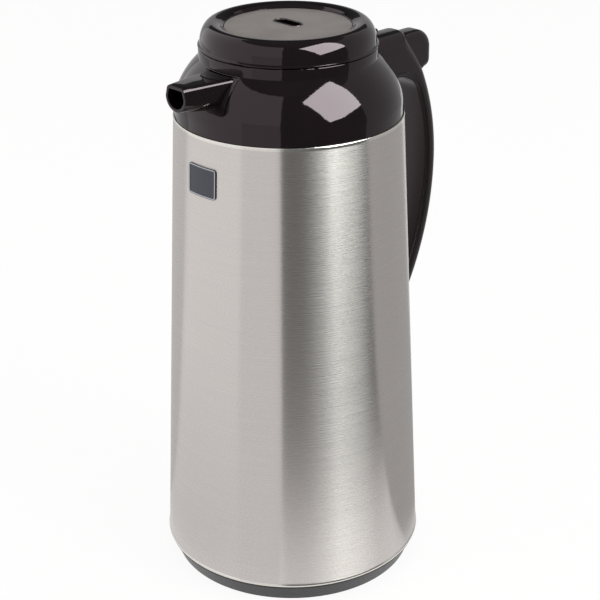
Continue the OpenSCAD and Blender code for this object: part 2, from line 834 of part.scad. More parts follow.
// A piece of conical wall on the handle's side of the sleeve
module sleeve_patch(gap, t, low, high, half) {
    intersection() {
        rotate_extrude()
            polygon([[shell_r(low) + gap, low], [shell_r(low) + gap + t, low],
                     [shell_r(high) + gap + t, high], [shell_r(high) + gap, high]]);
        translate([0, -half, low - over])
            cube([2 * shell_r_bottom, 2 * half, high - low + 2 * over]);
    }
}

module handle_bracket() {
    color("#9a9a98")
        difference() {
            sleeve_patch(0, bracket_t, handle_foot_z + 1, handle_foot_z + 10, 7);
            bracket_screw_place()
                screw_hole(screw_room);
        }
}

module nut_plate() {
    t = 1.6;
    color("#8d8d8b")
        difference() {
            sleeve_patch(-shell_t - seat_gap - t, t, handle_foot_z, handle_foot_z + 11, 8);
            bracket_screw_place()
                screw_hole(screw_room);
        }
}

module bracket_screw_place() {
    translate([bracket_head_x, 0, bracket_screw_z])
        rotate([0, -90, 0])
            children();
}

module shoulder_screw_places() {
    for (side = [-1, 1])
        translate([shoulder_screw_x, side * shoulder_screw_y, shoulder_screw_z])
            rotate([0, 90, 0])
                children();
}

module bracket_screw() {
    color("#a8a8a6")
        bracket_screw_place()
            screw(bracket_head_x - sleeve_inner(bracket_screw_z) + 3.5);
}

module shoulder_screws() {
    color("#a8a8a6")
        shoulder_screw_places()
            screw(cavity_x - shoulder_screw_x - 0.5);
}

module hinge_pin() {
    color("#c4c4c2")
        translate([hinge_x, 0, hinge_z])
            rotate([90, 0, 0])
                cylinder(h = 2 * hinge_half, r = hinge_pin_r, center = true);
}

module lever_pin() {
    color("#c4c4c2")
        translate([lever_pin_x, 0, pin_z])
            rotate([90, 0, 0])
                cylinder(h = handle_w - 1.6, r = lever_pin_r, center = true);
}

module lever_spring() {
    color("#b0b0ae")
        translate([lever_spring_x, 0, lever_spring_z])
            coil(lever_coil_r, lever_pocket_z - lever_spring_z, lever_wire, lever_curls);
}

module lid_cap() {
    plate_low = lid_z - disc_depth - disc_t;
    ledge_low = plate_low - lid_t;
    inner = lid_r - lid_t;
    a = lid_r - lip_out - crest_r;
    b = lid_h - lip_h;
    color("#1d1a1b")
        difference() {
            union() {
                rotate_extrude()
                    polygon(concat([[lid_r, seam_z], [lid_r, seam_z + 0.6 * lip_h]],
                                   [for (i = [0 : 14]) let (d = 90 * i / 14)
                                       [crest_r + a * cos(d), seam_z + lip_h + b * sin(d)]],
                                   [[disc_r + seat_gap + 0.9, lid_z - 0.1], [disc_r + seat_gap, lid_z - 0.7],
                                    [disc_r + seat_gap, plate_low], [disc_r - 3, plate_low],
                                    [disc_r - 3, ledge_low], [inner - 3, ledge_low],
                                    [inner - 0.6, ledge_low - 1.2], [inner, ledge_low - 3], [inner, seam_z]]));
                lid_screw_places()
                    translate([0, 0, flange_z + stopper_flange_t])
                        cylinder(h = ledge_low + over - flange_z - stopper_flange_t, r = screw_head_r + 0.8);
                lid_lugs();
            }
            lid_screw_places()
                translate([0, 0, flange_z])
                    cylinder(h = ledge_low - flange_z, r = screw_r + seat_gap);
            translate([hinge_x, 0, hinge_z])
                rotate([90, 0, 0])
                    cylinder(h = 2 * hinge_half + over, r = hinge_pin_r + pin_gap, center = true);
        }
}

module lid_lugs() {
    for (side = [-1, 1])
        translate([0, side * (lug_in + lug_out) / 2, 0])
            slab((lug_out - lug_in) / 2) {
                translate([hinge_x, hinge_z])
                    circle(knuckle_r);
                translate([hinge_x - knuckle_r, hinge_z])
                    square([2 * knuckle_r, seam_z + 2 - hinge_z]);
                translate([lid_r - 3.5, seam_z + 0.2])
                    square([hinge_x - lid_r + 3.5 + knuckle_r, 2.8]);
            }
}

module lid_screw_places() {
    for (i = [0 : lid_screw_count - 1])
        rotate([0, 0, 180 + 360 * i / lid_screw_count])
            translate([lid_screw_r, 0, 0])
                children();
}

module lid_plate() {
    low = lid_z - disc_depth - disc_t;
    r = (disc_r * disc_r + plate_crown * plate_crown) / (2 * plate_crown);
    turn = asin(disc_r / r);
    color("#39383b")
        difference() {
            rotate_extrude()
                polygon(concat([[0, low], [disc_r, low]],
                               arc_points(0, low + disc_t + plate_crown - r, r, 90 - turn, 90)));
            translate([0, 0, low - over])
                linear_extrude(disc_t + plate_crown + 2 * over)
                    hull()
                        for (side = [-1, 1])
                            translate([0, side * (slot_l - slot_w) / 2])
                                circle(slot_w / 2);
        }
}

module stopper() {
    bottom_top = stopper_z + stopper_floor;
    low_r = seat_r + seat_flare - 1;
    inner_low = gasket_r - stopper_t;
    color("#2b2826")
        difference() {
            union() {
                rotate_extrude()
                    polygon([[port_r, stopper_z], [gasket_r, stopper_z], [gasket_r, floor_z - 0.1],
                             [low_r, floor_z + 0.1], [stopper_r_top, flange_z], [flange_r, flange_z],
                             [flange_r, flange_z + stopper_flange_t], [0, flange_z + stopper_flange_t],
                             [0, flange_z], [stopper_r_top - stopper_t, flange_z],
                             [low_r - stopper_t, floor_z + 1.6], [inner_low, floor_z - 1],
                             [inner_low, bottom_top], [port_r, bottom_top]]);
                translate([0, 0, flange_z - 4])
                    cylinder(h = 5, r = stem_r + 1.6);
            }
            translate([0, 0, stopper_z])
                cylinder(h = 2 * collar_h, r = stem_r + pin_gap);
            for (i = [0 : window_count - 1])
                rotate([0, 0, 180 + 52 * (i - (window_count - 1) / 2)])
                    translate([gasket_r - 2 * stopper_t, -window_w / 2, window_z])
                        cube([4 * stopper_t + 4, window_w, window_h]);
            translate([gasket_r - 2 * stopper_t, -valve_arm_half - 0.6, arm_z - 1.3])
                cube([4 * stopper_t + 6, 2 * valve_arm_half + 1.2, flange_z - arm_z + 1.3]);
            lid_screw_places()
                translate([0, 0, flange_z - over])
                    cylinder(h = stopper_flange_t + 2 * over, r = screw_r + seat_gap);
        }
}

module stopper_gasket() {
    low = stopper_z + 1.5;
    high = floor_z - 0.4;
    gap = move_gap + 0.05;
    color("#c9c5bc")
        rotate_extrude()
            polygon([[gasket_r + seat_gap, low],
                     [seat_r + seat_flare * (low - seat_z) / seat_h - gap, low],
                     [seat_r + seat_flare * (high - seat_z) / seat_h - gap, high],
                     [gasket_r + seat_gap, high]]);
}

module lid_screws() {
    color("#a8a8a6")
        lid_screw_places()
            translate([0, 0, flange_z])
                screw(stopper_flange_t + 3);
}

module valve_plug() {
    color("#3a3734")
        union() {
            rotate_extrude()
                polygon([[0, valve_z], [valve_r, valve_z], [valve_r, valve_z + valve_disc_t],
                         [cup_r, valve_z + valve_disc_t], [cup_r, arm_z + arm_t],
                         [cup_r - 2, arm_z + arm_t], [cup_r - 2, valve_z + valve_disc_t],
                         [stem_r, valve_z + valve_disc_t], [stem_r, stem_top], [0, stem_top]]);
            translate([cup_r - 1, -valve_arm_half, arm_z])
                cube([arm_reach - cup_r + 1, 2 * valve_arm_half, arm_t]);
        }
}

module valve_seal() {
    color("#c9c5bc")
        rotate_extrude()
            polygon([[port_r + 0.4, seal_z], [valve_r, seal_z], [valve_r, valve_z], [port_r + 0.4, valve_z]]);
}

module valve_spring() {
    low = valve_z + valve_disc_t;
    color("#b0b0ae")
        translate([0, 0, low])
            coil(valve_coil_r, flange_z - low, valve_wire, valve_curls);
}

module thumb_lever() {
    under_deg = asin((lobe_z - lobe_r - arch_z) / undercut_r);
    roof_end = upper_x + sqrt(back_upper_r * back_upper_r - (roof_z - handle_mid_z) * (roof_z - handle_mid_z));
    under_roof = roof_z - move_gap - 0.1;
    pad_top = pad_z + pad_r;
    arm_low = lever_arm_z - lever_arm_t;
    color("#201d1e")
        difference() {
            union() {
                slab(lever_half)
                    polygon(concat([[lever_pin_x, pin_z + hub_r], [roof_end - 4, under_roof],
                                    [roof_end + 0.6, under_roof], [roof_end + 0.6, pad_top]],
                                   arc_points(pad_x, pad_z, pad_r, 90, -lobe_deg, 14),
                                   arc_points(lobe_x, lobe_z, lobe_r, -8, -95, 8),
                                   arc_points(arch_x, arch_z, undercut_r, under_deg, 90, 6),
                                   [[lever_pin_x, pin_z - hub_r]]));
                slab(lever_half) {
                    translate([lever_pin_x, pin_z])
                        circle(hub_r);
                }
                slab(lever_arm_half)
                    polygon([[lever_tip_x, arm_low], [lever_tip_x, lever_arm_z], [knee_x - 1, lever_arm_z],
                             [knee_x + 2, lever_arm_z - 3], [lever_pin_x - 4, pin_z + 3],
                             [lever_pin_x, pin_z], [lever_pin_x - 4, pin_z - 2.6], [knee_x, arm_low]]);
            }
            translate([lever_pin_x, 0, pin_z])
                rotate([90, 0, 0])
                    cylinder(h = handle_w, r = lever_pin_r + pin_gap, center = true);
            translate([lever_spring_x, 0, head_floor])
                cylinder(h = lever_pocket_z - head_floor, r = lever_pocket_r);
        }
}

base_foot();
bottom_cover();
liner_cushion();
glass_liner();
neck_gasket();
steel_sleeve();
badge_plate();
shoulder();
pour_collar();
spout();
handle();
handle_insert();
handle_bracket();
nut_plate();
bracket_screw();
shoulder_screws();
hinge_pin();
lever_pin();
lever_spring();
lid_cap();
lid_plate();
stopper();
stopper_gasket();
lid_screws();
valve_spring();
valve_plug();
valve_seal();
thumb_lever();
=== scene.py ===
"""Thermal carafe with a flip lid, dressed for rendering. Lengths in the shape code are millimetres."""
import math

import bmesh
import bpy
from mathutils import Matrix, Vector


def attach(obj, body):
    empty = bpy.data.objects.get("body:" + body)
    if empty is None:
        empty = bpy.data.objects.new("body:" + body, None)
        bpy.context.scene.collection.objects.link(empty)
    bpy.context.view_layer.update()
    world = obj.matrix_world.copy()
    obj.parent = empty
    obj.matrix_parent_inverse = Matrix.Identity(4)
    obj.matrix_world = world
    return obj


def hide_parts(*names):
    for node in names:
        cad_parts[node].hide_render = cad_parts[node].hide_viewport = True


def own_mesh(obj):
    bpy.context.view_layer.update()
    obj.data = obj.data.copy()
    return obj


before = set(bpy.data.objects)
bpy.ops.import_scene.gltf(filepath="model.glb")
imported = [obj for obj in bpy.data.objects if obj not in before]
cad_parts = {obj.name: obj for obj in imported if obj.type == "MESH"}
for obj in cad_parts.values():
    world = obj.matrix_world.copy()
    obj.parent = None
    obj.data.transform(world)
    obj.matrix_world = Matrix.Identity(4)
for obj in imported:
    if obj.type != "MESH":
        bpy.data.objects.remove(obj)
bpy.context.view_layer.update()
bpy.context.scene.view_settings.view_transform = "Standard"

MM = 0.001
TURN = 2 * math.pi
# Sides of a turned piece, and of a turned shape that is only cut away
SIDES = 192
CUT_SIDES = 96
# Clearance between seated pieces
SEAT = 0.15

# Foot and sleeve
FOOT_H = 10.7
# Cross-section of the foot, as radius and height
FOOT_PROFILE = [(62.2, 0), (68.2, 0), (71.3, 9.3), (72.6, 9.3), (72.6, 10.7), (72.15, 10.7), (71.75, 18.7),
                (69.35, 18.7), (69.75, 5.4), (52.55, 5.4), (52.55, 12.0), (50.15, 12.0), (50.15, 3.0),
                (62.2, 3.0)]
SLEEVE_TOP = 263.0
SLEEVE_R_LOW = 72.9
SLEEVE_R_HIGH = 61.2
# Rolled rims of the sleeve: how far out of the wall's end and how far up from it, and the height of each rim
LOW_RIM = ((-0.6, 0.0), (0.1, 0.0), (0.32, 0.25), (0.4, 0.7), (0.3, 1.15))
HIGH_RIM = ((0.17, -1.1), (0.2, -0.7), (0.12, -0.3), (-0.05, 0.0), (-0.6, 0.0))
LOW_RIM_H = 1.6
HIGH_RIM_H = 1.7
# Row of the wall next to each rim, which keeps the wall's shading even
RIM_ROW = 2.4

# Badge plate: width, height, corner radius, thickness and height of its lower edge
BADGE_W, BADGE_H, BADGE_R, BADGE_T, BADGE_Z = 20.4, 16.2, 1.6, 0.7, 231.6
# Its border, from outside in: bevel, bright rim, step down, and the step's depth
BADGE_BEVEL, BADGE_RIM, BADGE_STEP, BADGE_SUNK = 0.25, 0.55, 0.15, 0.18

# Shoulder: lower arc as its centre's radius and height and its own radius, then the flatter arc above it
DOME_ARC = (38.95, 268.65, 21.5)
DOME_DEG = 20.0
DOME_UPPER_R = 41.86
DOME_WALL = 2.0
DOME_LOW_Z = 254.0
NECK_R = 47.0
NECK_Z = 299.12
# Way through the shoulder and the handle's head for the lever's arm
WAY_HALF = 4.8
WAY_Z = 284.32

# Spout: mouth and root as distances from the axis, and the level top
SPOUT_X = 77.5
SPOUT_ROOT_X = 39.85
SPOUT_Z = 293.22
# At the mouth: half width above and below, height and lower corner radius; then what each gains to the root
MOUTH = (6.8, 7.7, 13.4, 7.6)
MOUTH_GAIN = (5.7, 4.8, 3.6, -4.6)
SPOUT_EASE = 2.6
SPOUT_WALL = 1.8
# Flange of the spout: half widths below and above, drop under the spout's top, corner radius, and how far it
# stands off the shoulder
FLANGE_LOW_HALF, FLANGE_TOP_HALF, FLANGE_DROP, FLANGE_CORNER, FLANGE_OUT = 13.4, 12.1, 16.8, 2.0, 0.9
# Where the flange's slab starts and how deep it is before the shoulder's shape is cut from it
FLANGE_X, FLANGE_DEEP = -61.4, 18.0

# Handle: outer reach, radii of the two arcs of its back, and the height where they meet
REACH = 110.8
BACK_UP = 126.0
BACK_LOW = 158.0
MID_Z = 212.5
UP = (REACH - BACK_UP, MID_Z)
LOW = (REACH - BACK_LOW, MID_Z)
HALF = 10.0
GRIP_T = 9.2
INSERT_T = 3.2
HEAD_X = 40.0
HEAD_Z = 291.42
HEAD_FLOOR = 265.62
FOOT_Z = 112.0
# Outer corner of the head: centre, radius, and the angles where it stops and the back begins
CORNER = (80.6, HEAD_Z - 5.0, 5.0)
CORNER_DEG = 37.7
BACK_DEG = 36.5
# Edge radii: on the head, down the back, and along the inner cover
EDGE_TOP_R = 8.0
EDGE_R = 5.6
INNER_EDGE_R = 2.6
# The head's edge radius eases to the back's from this far under the head's top, over this height
EASE_FROM, EASE_OVER = 9, 14
# Hollow of the arch under the head: centre and radius
ARCH = (77.146, 247.62, 18.0)
ARCH_DEG = math.degrees(math.atan2(ARCH[1] - UP[1], ARCH[0] - UP[0]))
FOOT_DEG = math.degrees(math.asin((MID_Z - FOOT_Z) / (BACK_LOW - GRIP_T)))
INSERT_DEG = math.degrees(math.asin((MID_Z - FOOT_Z - 12) / BACK_LOW))
# Room left between the sleeve and the handle for the bracket
BRACKET_ROOM = 2.4
# Room in the head for the lever's pad, and the way for its arm, both as outlines in X and Z
PAD_ROOM = [(64, 288.42), (64, 261.1), (140, 261.1), (140, 288.42)]
PAD_ROOM_HALF = 8.0
ARM_WAY = [(30, WAY_Z), (52, WAY_Z), (65, 276.32), (65, 288.42), (58, 288.42), (58, 300), (30, 300)]
# Socket of the bracket screw
SOCKET_R, SOCKET_AT = 3.1, (88.0, 0, 117.0)

# Hinge: its axis, the radius of its knuckles, and for the handle's ears and the lid's lugs the half thickness
# and the distance from the middle
HINGE = (51.5, 297.22)
KNUCKLE_R = 3.0
EAR_HALF, EAR_Y, EAR_LOW_Z = 1.7, 6.9, 287.4
LUG_HALF, LUG_Y, LUG_HOLE_R = 2.25, 11.15, 1.56

# Lever: its axis, hub radius, half width, edge radius, top, and its pad and lobe as centre and radius
PIN = (72.0, 278.92)
HUB_R = 5.0
LEVER_HALF = 7.6
LEVER_EDGE_R = 5.2
LEVER_TOP = 288.62
PAD = (96.0, 278.12, 10.5)
LOBE = (101.2, 271.22, 5.3)
# Front of the pad, the low step before it, and the hollow that clears the handle's arch
PAD_FRONT, STEP_X, STEP_Z, CLEAR_R = 85.96, 81.36, 288.02, 25.8
# Arm that reaches under the lid: outline in X and Z, and half width
ARM = [(36.5, 285.32), (36.5, 289.72), (52, 289.72), (55, 286.72), (68, 281.92), (68.8, 279.0), (68, 276.32),
       (53, 285.32)]
ARM_HALF = 4.2
PIN_HOLE_R = 2.06
# Pocket for the lever's spring, and how far the lever turns
POCKET_X, POCKET_TOP, POCKET_R, POCKET_DEPTH = 81.0, 280.92, 3.7, 20
LEVER_DEG = 9

# Lid: seam with the neck, radius, height, lip, crest of the ring, and the plate's seat
SEAM_Z = 299.52
LID_R = 47.2
LID_H = 12.4
LIP_OUT = 1.0
LIP_H = 1.4
CREST_R = 39.5
DISC_R = 34.8
DISC_Z = 309.42
DISC_LOW_Z = 307.62
RING_R = 33.4
CROWN = 1.1
# Inner slope of the ring down to the plate, and the cap's underside, as radius and height
RING_SLOPE = [(37.9, 311.78), (36.9, 311.5), (35.9, 311.08), (35.0, 310.56), (34.3, 310.1), (33.8, 309.82),
              (RING_R + 0.15, 309.7), (RING_R, 309.5)]
CAP_UNDER = [(RING_R, DISC_LOW_Z), (DISC_R - 3, DISC_LOW_Z), (DISC_R - 3, 305.42), (42.0, 305.42),
             (44.4, 304.22), (45.0, 302.42), (45.0, SEAM_Z)]
# Slot in the plate: radius and centre of its round ends
SLOT_R, SLOT_END = 3.5, 5.2
# Bead round the slot: radius, and height over the plate's crown
SLOT_BEAD = ((SLOT_R, -0.6), (SLOT_R, 0.2), (3.62, 0.4), (3.85, 0.46), (4.1, 0.36), (4.3, 0.1), (4.4, -0.6))

# Studio, in metres: radius of the wall of cards, and how much light the white surroundings give
WALL = 1.7
WHITE_LIGHT = 0.65
FLOOR_GLOW = 0.92
FLOOR_DROP = 0.2 * MM
# Camera fitted to the photo: place in metres, turn and roll, and lens on a 36 mm sensor
CAMERA_AT = (-0.56131, -0.58165, 0.52535)
CAMERA_TURN = math.radians(-44.35)
CAMERA_DOWN = 0.4323
CAMERA_ROLL = -0.0071
CAMERA_LENS = 95.62


# ---------------------------------------------------------------- colour and nodes
def tint(code):
    """An sRGB hex colour as linear RGBA."""
    parts = [int(code[i:i + 2], 16) / 255 for i in (1, 3, 5)]
    return tuple(p / 12.92 if p <= 0.04045 else ((p + 0.055) / 1.055) ** 2.4 for p in parts) + (1.0,)


def add(tree, kind, settings=None, **links):
    """A node with its settings; a link is a socket to read or a plain value."""
    node = tree.nodes.new(kind)
    for key, value in (settings or {}).items():
        setattr(node, key, value)
    for key, value in links.items():
        socket = node.inputs[int(key[1:])] if key[0] == "_" else node.inputs[key.replace("_", " ")]
        if isinstance(value, bpy.types.NodeSocket):
            tree.links.new(value, socket)
        else:
            socket.default_value = value
    return node


def material(name):
    """An empty material with its Principled shader, and the object coordinates to draw patterns with."""
    mat = bpy.data.materials.new(name)
    mat.use_nodes = True
    tree = mat.node_tree
    shader = next(n for n in tree.nodes if n.type == "BSDF_PRINCIPLED")
    return mat, tree, shader, add(tree, "ShaderNodeTexCoord").outputs["Object"]


def surface(tree, result):
    """Makes a shader the material's surface."""
    tree.links.new(result, next(n for n in tree.nodes if n.type == "OUTPUT_MATERIAL").inputs[0])


def grain(tree, place, size, scale=(1, 1, 1), detail=3.0):
    """Noise whose lumps are about `size` mm across, stretched along the axes with a small scale."""
    spot = add(tree, "ShaderNodeMapping", Vector=place, Scale=scale).outputs[0]
    return add(tree, "ShaderNodeTexNoise", Vector=spot, Scale=1 / (size * MM), Detail=detail).outputs[0]


def spread(tree, value, low, high, at=(0.3, 0.7)):
    """Noise spread between two values."""
    return add(tree, "ShaderNodeMapRange", None, Value=value, _1=at[0], _2=at[1], _3=low, _4=high).outputs[0]


def shades(tree, value, dark, light, at=(0.3, 0.7)):
    """Noise spread between two colours."""
    fac = spread(tree, value, 0.0, 1.0, at)
    return add(tree, "ShaderNodeMix", {"data_type": "RGBA"}, _0=fac, _6=tint(dark), _7=tint(light)).outputs[2]


def dents(tree, shader, height, depth, size):
    """Bump from a height; `depth` is its strength, and `size` the lumps' distance in mm."""
    bump = add(tree, "ShaderNodeBump", None, Height=height, Strength=depth, Distance=size * MM)
    tree.links.new(bump.outputs[0], shader.inputs["Normal"])


def brushed_stainless(name, dark, light, line=0.3, streak=2.0, part=0.12, at=(0.4, 0.8)):
    """304 stainless sheet brushed round the body: fine level lines that smear reflections up and down."""
    mat, tree, shader, place = material(name)
    lines = grain(tree, place, line, (0.006, 0.006, 1.0), 2.0)
    broad = grain(tree, place, streak, (0.02, 0.02, 1.0), 2.0)
    both = add(tree, "ShaderNodeMath", {"operation": "MULTIPLY_ADD"}, _0=broad, _1=part, _2=lines).outputs[0]
    for socket, value in (("Metallic", 1.0), ("Anisotropic", 1.0), ("Anisotropic Rotation", 0.25)):
        shader.inputs[socket].default_value = value
    tree.links.new(shades(tree, both, dark, light, at), shader.inputs["Base Color"])
    tree.links.new(spread(tree, both, 0.265, 0.285, at), shader.inputs["Roughness"])
    tangent = add(tree, "ShaderNodeTangent", {"direction_type": "RADIAL", "axis": "Z"})
    tree.links.new(tangent.outputs[0], shader.inputs["Tangent"])
    dents(tree, shader, lines, 0.02, line)
    return mat


def moulded(name, dark, light, rough, lump, depth, ior=1.5, gleam="#ffffff"):
    """Moulded plastic: even colour with a slight cloud, and a skin that is never quite flat."""
    mat, tree, shader, place = material(name)
    cloud = grain(tree, place, 14.0)
    skin = grain(tree, place, lump)
    tree.links.new(shades(tree, cloud, dark, light), shader.inputs["Base Color"])
    tree.links.new(spread(tree, skin, rough * 0.85, rough * 1.2), shader.inputs["Roughness"])
    shader.inputs["IOR"].default_value = ior
    shader.inputs["Specular Tint"].default_value = tint(gleam)
    dents(tree, shader, skin, depth, lump)
    return mat


def plain_metal(name, dark, light, rough, grit=0.5):
    """Plated or drawn steel: small bright parts with a faint drawn grain."""
    mat, tree, shader, place = material(name)
    skin = grain(tree, place, grit)
    shader.inputs["Metallic"].default_value = 1.0
    tree.links.new(shades(tree, skin, dark, light), shader.inputs["Base Color"])
    tree.links.new(spread(tree, skin, rough * 0.8, rough * 1.25), shader.inputs["Roughness"])
    dents(tree, shader, skin, 0.05, grit)
    return mat


# Warm cast of the reflections in the black mouldings
WARM = "#ffeaf1"
# 304 stainless steel, warm grey, brushed round the body
STEEL = brushed_stainless("brushed_stainless_sleeve", "#cfc9c6", "#d5cfcb")
# Turned rim of the sleeve, where the bead is brighter than the brushed wall
RIM = plain_metal("polished_stainless_rim", "#d8d4ce", "#ece8e2", 0.16)
# ABS moulded in a polished tool: deep black, sharp reflections
GLOSS = moulded("polished_black_abs", "#0c0809", "#100a0c", 0.05, 5.0, 0.008, 1.5, WARM)
# ABS of the handle: black, a touch softer than the shoulder
GRIP = moulded("smooth_black_abs", "#0a0607", "#0d0809", 0.16, 1.6, 0.02, 1.5, WARM)
# ABS of the grip's inner cover, with a fine spark-eroded skin
COVER = moulded("satin_black_abs", "#0c0808", "#100b0b", 0.3, 0.5, 0.05, 1.48, WARM)
# ABS of the recessed lid plate: dark grey satin that catches the sky
PLATE = moulded("satin_grey_abs", "#78726e", "#827c78", 0.4, 0.4, 0.06)
# Polypropylene foot: dark grey, satin
FOOT = moulded("satin_grey_polypropylene", "#211f20", "#282627", 0.38, 0.8, 0.05, 1.49)
# Polypropylene inner parts of the lid and the collar
INNER = moulded("natural_black_polypropylene", "#1c1a19", "#262321", 0.35, 0.8, 0.05, 1.49)
# Food-grade silicone of the seals: pale, soft, matt
SILICONE = moulded("pale_silicone", "#cfcabf", "#dad6cc", 0.6, 0.6, 0.06, 1.41)
# Natural rubber of the liner's cushion
RUBBER = moulded("dark_rubber", "#242423", "#2e2d2c", 0.7, 0.7, 0.1, 1.52)
# Silvered glass of the vacuum liner, seen as a soft mirror
GLASS = plain_metal("silvered_glass", "#d3d8da", "#e2e6e8", 0.05, 3.0)
# Spring wire, drawn
WIRE = plain_metal("drawn_spring_wire", "#a9a9a8", "#bcbcba", 0.22, 0.3)
# Zinc-plated steel screws, pins and sheet
ZINC = plain_metal("zinc_plated_steel", "#a4a5a4", "#b9bab8", 0.26, 0.6)
# Anodised aluminium badge plate, dark grey and bare
BADGE = plain_metal("dark_anodised_plate", "#4d4e55", "#585960", 0.36, 0.3)
# Its thin polished border
BADGE_EDGE = plain_metal("bright_plate_border", "#a8a9ad", "#bbbcc0", 0.25, 0.3)


# ---------------------------------------------------------------- shape helpers
def spin_by(degrees, axis, size=4):
    """A turn about an axis through the origin, as a matrix."""
    return Matrix.Rotation(math.radians(degrees), size, axis)


def arc(cx, cy, r, start, end, steps):
    """Points along an arc, angles in degrees."""
    return [(cx + r * math.cos(math.radians(start + (end - start) * i / steps)),
             cy + r * math.sin(math.radians(start + (end - start) * i / steps))) for i in range(steps + 1)]


def on_arc(x, z, centre, r, slack=0.01):
    """Whether a point lies on the circle of an arc."""
    return abs(math.hypot(x - centre[0], z - centre[1]) - r) < slack


def towards(x, z, centre, back):
    """A point moved towards a centre."""
    dx, dz = centre[0] - x, centre[1] - z
    part = back / math.hypot(dx, dz)
    return x + part * dx, z + part * dz


def outline(bm, points, closed=True):
    """A line of edges through points in space."""
    verts = [bm.verts.new(p) for p in points]
    edges = [bm.edges.new(pair) for pair in zip(verts, verts[1:])]
    if closed:
        edges.append(bm.edges.new((verts[-1], verts[0])))
    return verts, edges


def bevel(bm, edges, width, steps, clamp):
    """Rounds edges off with a bevel of a width and a number of steps."""
    bmesh.ops.bevel(bm, geom=edges, offset=width, offset_type="OFFSET", affect="EDGES", segments=steps,
                    profile=0.5, material=-1, clamp_overlap=clamp)


def round_over(bm, width, angle, steps=3, pick=None):
    """Bevels every edge that turns by more than an angle, or only those that `pick` wants."""
    edges = [e for e in bm.edges if len(e.link_faces) == 2 and e.calc_face_angle(0) > math.radians(angle)
             and (pick is None or pick(e))]
    bevel(bm, edges, width, steps, True)


def to_metres(bm):
    """Outward normals, smooth faces, and metres in place of millimetres."""
    bmesh.ops.recalc_face_normals(bm, faces=bm.faces[:])
    bmesh.ops.scale(bm, vec=(MM, MM, MM), verts=bm.verts[:])
    for face in bm.faces:
        face.smooth = True


def piece(name, bm, *materials, sharp=30):
    """Turns a bmesh in mm into an object in metres, shaded smooth up to an angle."""
    to_metres(bm)
    mesh = bpy.data.meshes.new(name)
    bm.to_mesh(mesh)
    bm.free()
    mesh.set_sharp_from_angle(angle=math.radians(sharp))
    for mat in materials:
        mesh.materials.append(mat)
    obj = bpy.data.objects.new(name, mesh)
    bpy.context.scene.collection.objects.link(obj)
    return obj


def in_mm(obj):
    """Takes a piece back as a bmesh in mm."""
    bm = bmesh.new()
    bm.from_mesh(obj.data)
    bmesh.ops.scale(bm, vec=(1 / MM, 1 / MM, 1 / MM), verts=bm.verts[:])
    bpy.data.objects.remove(obj, do_unlink=True)
    return bm


def turned(points, steps=SIDES):
    """A closed profile of radius and height, turned about the upright axis."""
    bm = bmesh.new()
    verts, edges = outline(bm, [(x, 0.0, z) for x, z in points])
    bmesh.ops.spin(bm, geom=verts + edges, axis=(0, 0, 1), cent=(0, 0, 0), angle=TURN, steps=steps,
                   use_merge=True)
    bmesh.ops.remove_doubles(bm, verts=bm.verts[:], dist=0.001)
    return bm


def thickened(points, offset):
    """A flat face through points in space, drawn out by an offset, and what grew from it."""
    bm = bmesh.new()
    face = bm.faces.new([bm.verts.new(p) for p in points])
    grown = bmesh.ops.extrude_face_region(bm, geom=[face])["geom"]
    bmesh.ops.translate(bm, vec=offset, verts=[g for g in grown if isinstance(g, bmesh.types.BMVert)])
    return bm, grown


def slab(points, half):
    """A flat outline in X and Z, given thickness along Y."""
    bm, _ = thickened([(x, -half, z) for x, z in points], (0, 2 * half, 0))
    bmesh.ops.recalc_face_normals(bm, faces=bm.faces[:])
    return bm


def rounded_slab(points, half, radius, drawn, steps=8):
    """A slab with rounded long edges.

    `radius` gives the edge's radius at a point, and `drawn` where that point goes as the edge turns in.
    """
    bm = bmesh.new()
    rings = []
    for side in (-1, 1):
        for i in range(steps + 1):
            turn = math.radians(90 * (i if side > 0 else steps - i) / steps)
            ring = []
            for x, z in points:
                r = radius(x, z)
                inner_x, inner_z = drawn(x, z, r * (1 - math.cos(turn))) if r else (x, z)
                ring.append(bm.verts.new((inner_x, side * (half - r + r * math.sin(turn)), inner_z)))
            rings.append(ring)
    for a, b in zip(rings, rings[1:]):
        for i, low in enumerate(a):
            j = (i + 1) % len(a)
            if (low.co - b[i].co).length > 1e-5 or (a[j].co - b[j].co).length > 1e-5:
                bm.faces.new((low, a[j], b[j], b[i]))
    bm.faces.new(rings[0])
    bm.faces.new(rings[-1])
    bmesh.ops.remove_doubles(bm, verts=bm.verts[:], dist=0.0005)
    bmesh.ops.dissolve_degenerate(bm, edges=bm.edges[:], dist=0.0005)
    return bm


def round_outline(bm, wanted, steps):
    """Rounds the long edges of the handle's slabs where a test on (x, z) holds at both ends."""
    edges = [e for e in bm.edges if all(abs(abs(v.co.y) - HALF) < 1e-4 for v in e.verts)
             and e.verts[0].co.y * e.verts[1].co.y > 0 and all(wanted(v.co.x, v.co.z) for v in e.verts)]
    bevel(bm, edges, INNER_EDGE_R, steps, False)


def across(x, z):
    """Turns a rod to lie along Y at a place in X and Z."""
    return Matrix.Translation((x, 0, z)) @ spin_by(90, "X")


def rod(radius, depth, place, segments=32):
    """A cylinder along its own Z, put in place by a matrix."""
    bm = bmesh.new()
    bmesh.ops.create_cone(bm, cap_ends=True, segments=segments, radius1=radius, radius2=radius, depth=depth,
                          matrix=place)
    return bm


def loft(rings):
    """A closed tube through rings of equal length, the last joined to the first."""
    bm = bmesh.new()
    loops = [outline(bm, ring)[1] for ring in rings]
    for a, b in zip(loops, loops[1:] + loops[:1]):
        bmesh.ops.bridge_loops(bm, edges=a + b)
    return bm


